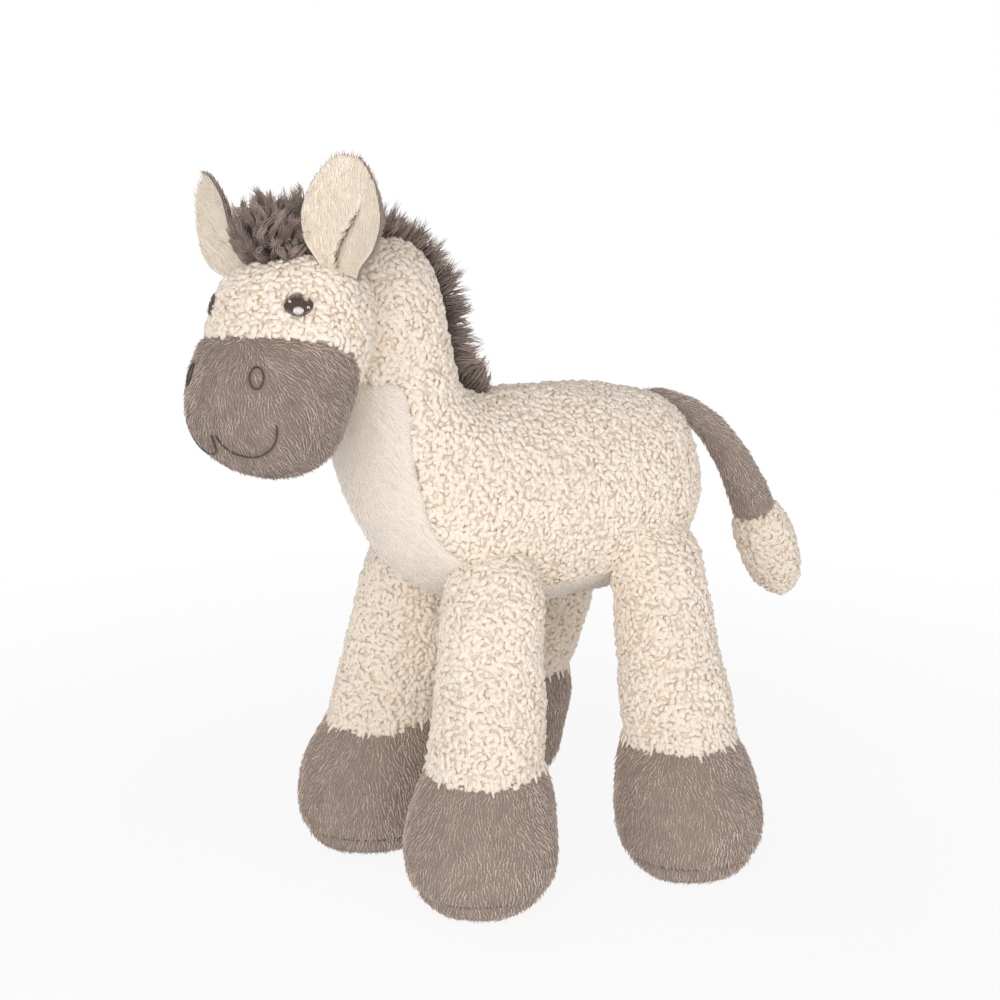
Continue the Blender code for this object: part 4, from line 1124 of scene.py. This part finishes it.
def ear_leaf(name, side, layer, columns=48, rows=48):
    """One layer of an ear as an open sheet, its upward direction and its pleat; 1 is front, -1 back."""
    facing = Matrix.Rotation(math.radians(ear_facing_deg), 3, "Z")
    tilt = Matrix.Rotation(math.radians(ear_outward_deg[side]), 3, "Y")
    turned = facing @ tilt @ Matrix.Rotation(math.radians(ear_lean_deg), 3, "X")
    across, front, up = turned @ LEFT, turned @ FORWARD, turned @ UP
    root = head_turn.inverted() @ Vector(joints[side + "_ear_bend"]["pos_m"])
    root.x = abs(root.x)
    root += ear_settle
    mirror = Matrix.Diagonal((-1 if side == "right" else 1, 1, 1, 1))
    shape = bmesh.new()
    grid, pleat_line = [], []
    for row in range(rows + 1):
        height = row / rows
        width, cup = softened(EAR_ROWS, height)
        rim, rim_edge = EAR_RIMS[side]
        line = []
        fade = min(1.0, max(0.0, (pleat_share - height) / 0.2))
        for column in range(columns + 1):
            aside = 2 * column / columns - 1
            past = aside - pleat_place(height)
            fold = -math.tanh(past / 0.045) * math.exp(-abs(past) / 0.25) * fade
            bulge = math.cos(aside * math.pi / 2) * math.sin(math.pi * height)
            depth = cup * ear_cup_depth * aside ** 2 + pleat_depth * fold + ear_bulge * bulge
            reach = aside * width * ear_width / 2 + pleat_overlap * fold
            if layer < 0 and aside * rim_edge > 0:
                reach += aside * rim * math.sin(math.pi * (0.1 + 0.85 * height))
                depth += rim_roll * min(1.0, max(0.0, (abs(aside) - 0.75) / 0.2))
            place = root + across * reach + up * (height * ear_height) + front * depth
            line.append(shape.verts.new(place))
            if abs(past) < 1.2 / columns and fade > crease_fade:
                pleat_line.append(head_turn @ mirror @ place)
        grid.append(line)
    for lower, upper in zip(grid, grid[1:]):
        for here in range(columns):
            corners = (lower[here], lower[here + 1], upper[here + 1], upper[here])
            shape.faces.new(corners if layer > 0 else tuple(reversed(corners)))
    shape.normal_update()
    for corner in shape.verts:
        corner.co += corner.normal * ear_layer_gap
    mesh = bpy.data.meshes.new(name)
    shape.to_mesh(mesh)
    shape.free()
    if side == "right":
        mesh.transform(mirror)
        mesh.flip_normals()
    mesh.transform(head_turn)
    return new_object(name, mesh), (head_turn @ mirror).to_3x3() @ up, pleat_line


ear_bulge = 0.0011
rim_roll = 0.0015
# How far the painted shade in the pleat's crease reaches
crease_shade_reach = 0.0015
crease_fade = 0.5
# Inside the ears the cream plush is painted a little darker and warmer: painted shade.
ear_pile_painted_shade = pile_cloth("ear_pile_painted_shade", (250, 240, 225), (240, 226, 205), 0.016, 0.0009, 0.0002, 0.2, 0.35, 0.3)
# The ears' cream backing is painted dark brown along the pleat's crease: painted shade in the fold.
ear_backing_painted_crease_shade = darkened_along(pile_cloth("ear_backing_painted_crease_shade", (248, 239, 228), (234, 221, 205), 0.02, 0.0011, 0.0005, 0.1,
                                0.2), (138, 116, 90), 0.3, 1.0)
for side in ("left", "right"):
    for label, layer, look, backing, slot, length in (
            ("front", 1, ear_pile_painted_shade, ear_backing_painted_crease_shade, "smooth_cream_plush", 0.0022),
            ("back", -1, taupe_pile, taupe_backing, "taupe_plush", 0.0018)):
        leaf, upward, pleat_line = ear_leaf(f"{side}_ear_{label}_leaf", side, layer)
        # The along attribute holds the distance from the pleat, for the painted shade in its crease.
        near_crease = clear_of(pleat_line, crease_shade_reach / 1.5)
        painted_fold_shade = leaf.data.attributes.new("along", "FLOAT", "POINT")
        painted_fold_shade.data.foreach_set("value", [near_crease(corner.co, None) for corner in leaf.data.vertices])
        piece = plush(f"{side}_ear_{label}_plush", leaf, [f"{side}_ear_{label}"], 81 + layer, backing, look,
                      lambda place: upward + swirl(place, 0.01, 9) * 0.5 + swirl(place, 0.003, 4) * 0.3,
                      length, 0.00070, 0.00021, lean_deg=15, wall=ear_wall, cover=clear_of(pleat_line, 0.00055))
        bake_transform(piece)


# Embroidery
# Eyes, nostrils and mouth are stitched in dark brown thread through the finished head: the eyes as
# solid satin ovals with a white fleck, the nostrils and the mouth as lines of short stitches.
thread_radius = 0.00020
eye_lift = 0.0013


def thread_cloth(name, colour, shade_share):
    """Shiny twisted thread."""
    look = bpy.data.materials.new(name)
    look.use_nodes = True
    tree = look.node_tree
    shader = tree.nodes["Principled BSDF"]
    place = add(tree, "ShaderNodeTexCoord").outputs["Object"]
    twist = add(tree, "ShaderNodeTexNoise", {"Vector": place, "Scale": 1800.0, "Detail": 2.0})
    mixed = add(tree, "ShaderNodeMix", {"Factor": twist.outputs["Fac"],
                                        "A": dyed(*[c * shade_share for c in colour]), "B": dyed(*colour)},
                data_type="RGBA")
    tree.links.new(first(mixed, "Result"), shader.inputs["Base Color"])
    bump = add(tree, "ShaderNodeBump", {"Height": twist.outputs["Fac"], "Distance": 0.0002})
    tree.links.new(bump.outputs[0], shader.inputs["Normal"])
    shader.inputs["Roughness"].default_value = 0.5
    look.diffuse_color = dyed(*colour)
    return look


dark_thread = thread_cloth("dark_thread", (90, 68, 59), 0.55)
white_thread = thread_cloth("white_thread", (252, 246, 242), 0.88)


def satin_oval(name, shift, half_width, half_height, lift, crown, side, look, notch=0.0):
    """A solid oval of threads laid side by side at the eye; a notch is left open in its upper rear edge."""
    centre, outward, across, up = face_frame(EYE_SHARES)
    centre = centre + across * shift[0] + up * shift[1]
    rows = int(2 * half_width / (thread_radius * 1.5))
    lines = []
    for row in range(rows):
        aside = (row + 0.5) / rows * 2 - 1
        reach = math.sqrt(1 - aside ** 2) * half_height
        top = 1 - notch * math.exp(-((aside - 0.52) / 0.16) ** 4)
        line = []
        for step in range(9):
            along = -1 + (1 + top) * step / 8
            rise = crown * (1 - aside ** 2 * 0.8 - along ** 2 * 0.2 * (1 - aside ** 2))
            place = centre + across * (aside * half_width) + up * (along * reach)
            line.append(on_head(place, outward, lift + rise * (1 - (2 * step / 8 - 1) ** 4), side))
        lines.append(line)
    tones = [noise.random() for _ in lines]
    return strands(name, lines, stitches, thread_radius, look, tones)


def stitch_line(name, points, radius):
    """Short stitches one after the other along a line, each slanting a little across it."""
    lines = []
    for before, here, after in zip(points, points[1:], points[2:]):
        lines.append([before * 0.95 + here * 0.05, here, after * 0.75 + here * 0.25])
    return strands(name, lines, stitches, radius, dark_thread)


# Each fleck: name, shift towards the nape and up, half width and half height
EYE_FLECKS = (("fleck", -0.0002, -0.0021, 0.0015, 0.0015), ("low_speck", 0.0027, -0.0011, 0.0004, 0.0005),
              ("high_speck", -0.0024, 0.0011, 0.0004, 0.0005))
for side, sign in (("left", 1), ("right", -1)):
    threads = [satin_oval(side + "_iris", (0, 0), eye_half_width, eye_half_height, eye_lift, 0.0008, sign,
                          dark_thread, 0.62)]
    for fleck, back, up, half_width, half_height in EYE_FLECKS:
        threads.append(satin_oval(f"{side}_{fleck}", (back, up), half_width, half_height, eye_lift + 0.0007,
                                  0.0003, sign, white_thread))
    eye = joined(side + "_eye_embroidery", threads)
    nostril = joined(side + "_nostril_embroidery",
                     [stitch_line(side + "_ring", nostril_rings[sign], 0.00036)])
    for piece, node in ((eye, side + "_eye"), (nostril, side + "_nostril")):
        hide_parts(node)
        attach(piece, "head")
mouth = joined("mouth_embroidery", [stitch_line(f"mouth_half_{side}", mouth_arcs[side], 0.00032)
                                    for side in (1, -1)])
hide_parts("mouth_line")
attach(mouth, "head")


# Mane and forelock
# Both are long shaggy pile on a woven strip: brushed up, it parts into pointed tufts whose tips are
# paler. The mane's strip is sewn into the back seam of head and neck, the forelock between the ears.

shaggy_pile = darkened_along(pile_cloth("shaggy_pile", (222, 198, 186), (138, 118, 108), 0.008, 0.0012, 0.0003, -0.05,
                                0.4), (84, 70, 63), 0.0, 0.9)
hair_steps = 5


def tuft(lines, tones, root, tip, hairs_in_tuft, root_spread, tip_spread, bend, draw):
    """A pointed tuft: hairs from round a root that come together near a tip."""
    reach = tip - root
    tuft_tone = noise.random()
    for _ in range(hairs_in_tuft):
        start = root + noise.random_unit_vector() * root_spread * noise.random() ** 0.5
        finish = root + reach * (0.80 + 0.25 * noise.random()) + noise.random_unit_vector() * tip_spread
        bow = bend + noise.random_unit_vector() * reach.length * 0.05
        line = []
        for step in range(hair_steps):
            share = step / (hair_steps - 1)
            line.append(start.lerp(finish, share) + bow * 4 * share * (1 - share)
                        + reach * draw * share ** 2)
        lines.append(line)
        tones.append(0.6 * tuft_tone + 0.4 * noise.random())


noise.seed_set(5)
hair_radius = 0.00034
forelock_root = head_turn @ head_point(0.505, 0.955)
forelock_tufts = 170
lines, tones = [], []
for index in range(forelock_tufts):
    turn = index * math.pi * (3 - math.sqrt(5))
    spread = ((index + 0.5) / forelock_tufts) ** 0.5
    lean = math.radians(78) * spread
    direction = Vector((math.sin(lean) * math.sin(turn), -math.sin(lean) * math.cos(turn), math.cos(lean)))
    direction = head_turn.to_3x3() @ direction
    tall = (0.0150 * math.cos(lean) ** 0.7 + 0.0095) * (0.80 + 0.26 * noise.random())
    foot = forelock_root + direction * (0.002 + 0.62 * tall * noise.random() ** 0.7)
    tuft(lines, tones, foot, forelock_root + direction * tall + UP * 0.002 * spread, 22, 0.0016, 0.0010,
         noise.random_unit_vector() * 0.0028, 0.0)
forelock = joined("forelock_pile", [strands("forelock_hairs", lines, hairs, hair_radius, shaggy_pile, tones)])
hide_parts("forelock")
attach(forelock, "head")

mane_height = 0.0125
mane_half_width = 0.0055
MANE_NECK_SHARES = ((0.96, 0.05), (0.60, 0.62), (-0.10, 1.0))
MANE_BACK_SHARES = ((-0.235, 1.11), (-0.150, 0.99))
mane_path = [head_pivot + (neck_axis * up - FORWARD * behind) * neck_radius for up, behind in MANE_NECK_SHARES]
mane_path += [torso_point(along, up) for along, up in MANE_BACK_SHARES]


def spline_point(path, share):
    """A point and direction on a smooth curve through the path's points."""
    span = share * (len(path) - 1)
    index = min(int(span), len(path) - 2)
    local = span - index
    before, start, finish, after = (path[min(max(index + step, 0), len(path) - 1)] for step in (-1, 0, 1, 2))
    slope_a, slope_b = (finish - before) / 2, (after - start) / 2
    square, cube = local * local, local ** 3
    place = (start * (2 * cube - 3 * square + 1) + slope_a * (cube - 2 * square + local)
             + finish * (3 * square - 2 * cube) + slope_b * (cube - square))
    direction = (start * (6 * square - 6 * local) + slope_a * (3 * square - 4 * local + 1)
                 + finish * (6 * local - 6 * square) + slope_b * (3 * square - 2 * local))
    return place, direction.normalized()


mane_tufts = 250
lines, tones = [], []
for index in range(mane_tufts):
    share = (index + noise.random()) / mane_tufts
    place, direction = spline_point(mane_path, share)
    outward = LEFT.cross(direction).normalized()
    aside = 2 * noise.random() - 1
    ends = min(1.0, 0.55 + 4 * min(share, 1 - share))
    tall = mane_height * (1 - 0.2 * aside ** 2) * ends * (0.75 + 0.42 * noise.random())
    foot = place + LEFT * aside * mane_half_width
    lean = outward + LEFT * aside * 0.6 + noise.random_unit_vector() * 0.22
    tuft(lines, tones, foot + lean * 0.4 * tall * noise.random() ** 2, foot + lean.normalized() * tall, 15,
         0.0020, 0.0014, noise.random_unit_vector() * 0.0014, 0.0)
mane = joined("mane_pile", [strands("mane_hairs", lines, hairs, hair_radius, shaggy_pile, tones)])
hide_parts("mane")
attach(mane, "torso")
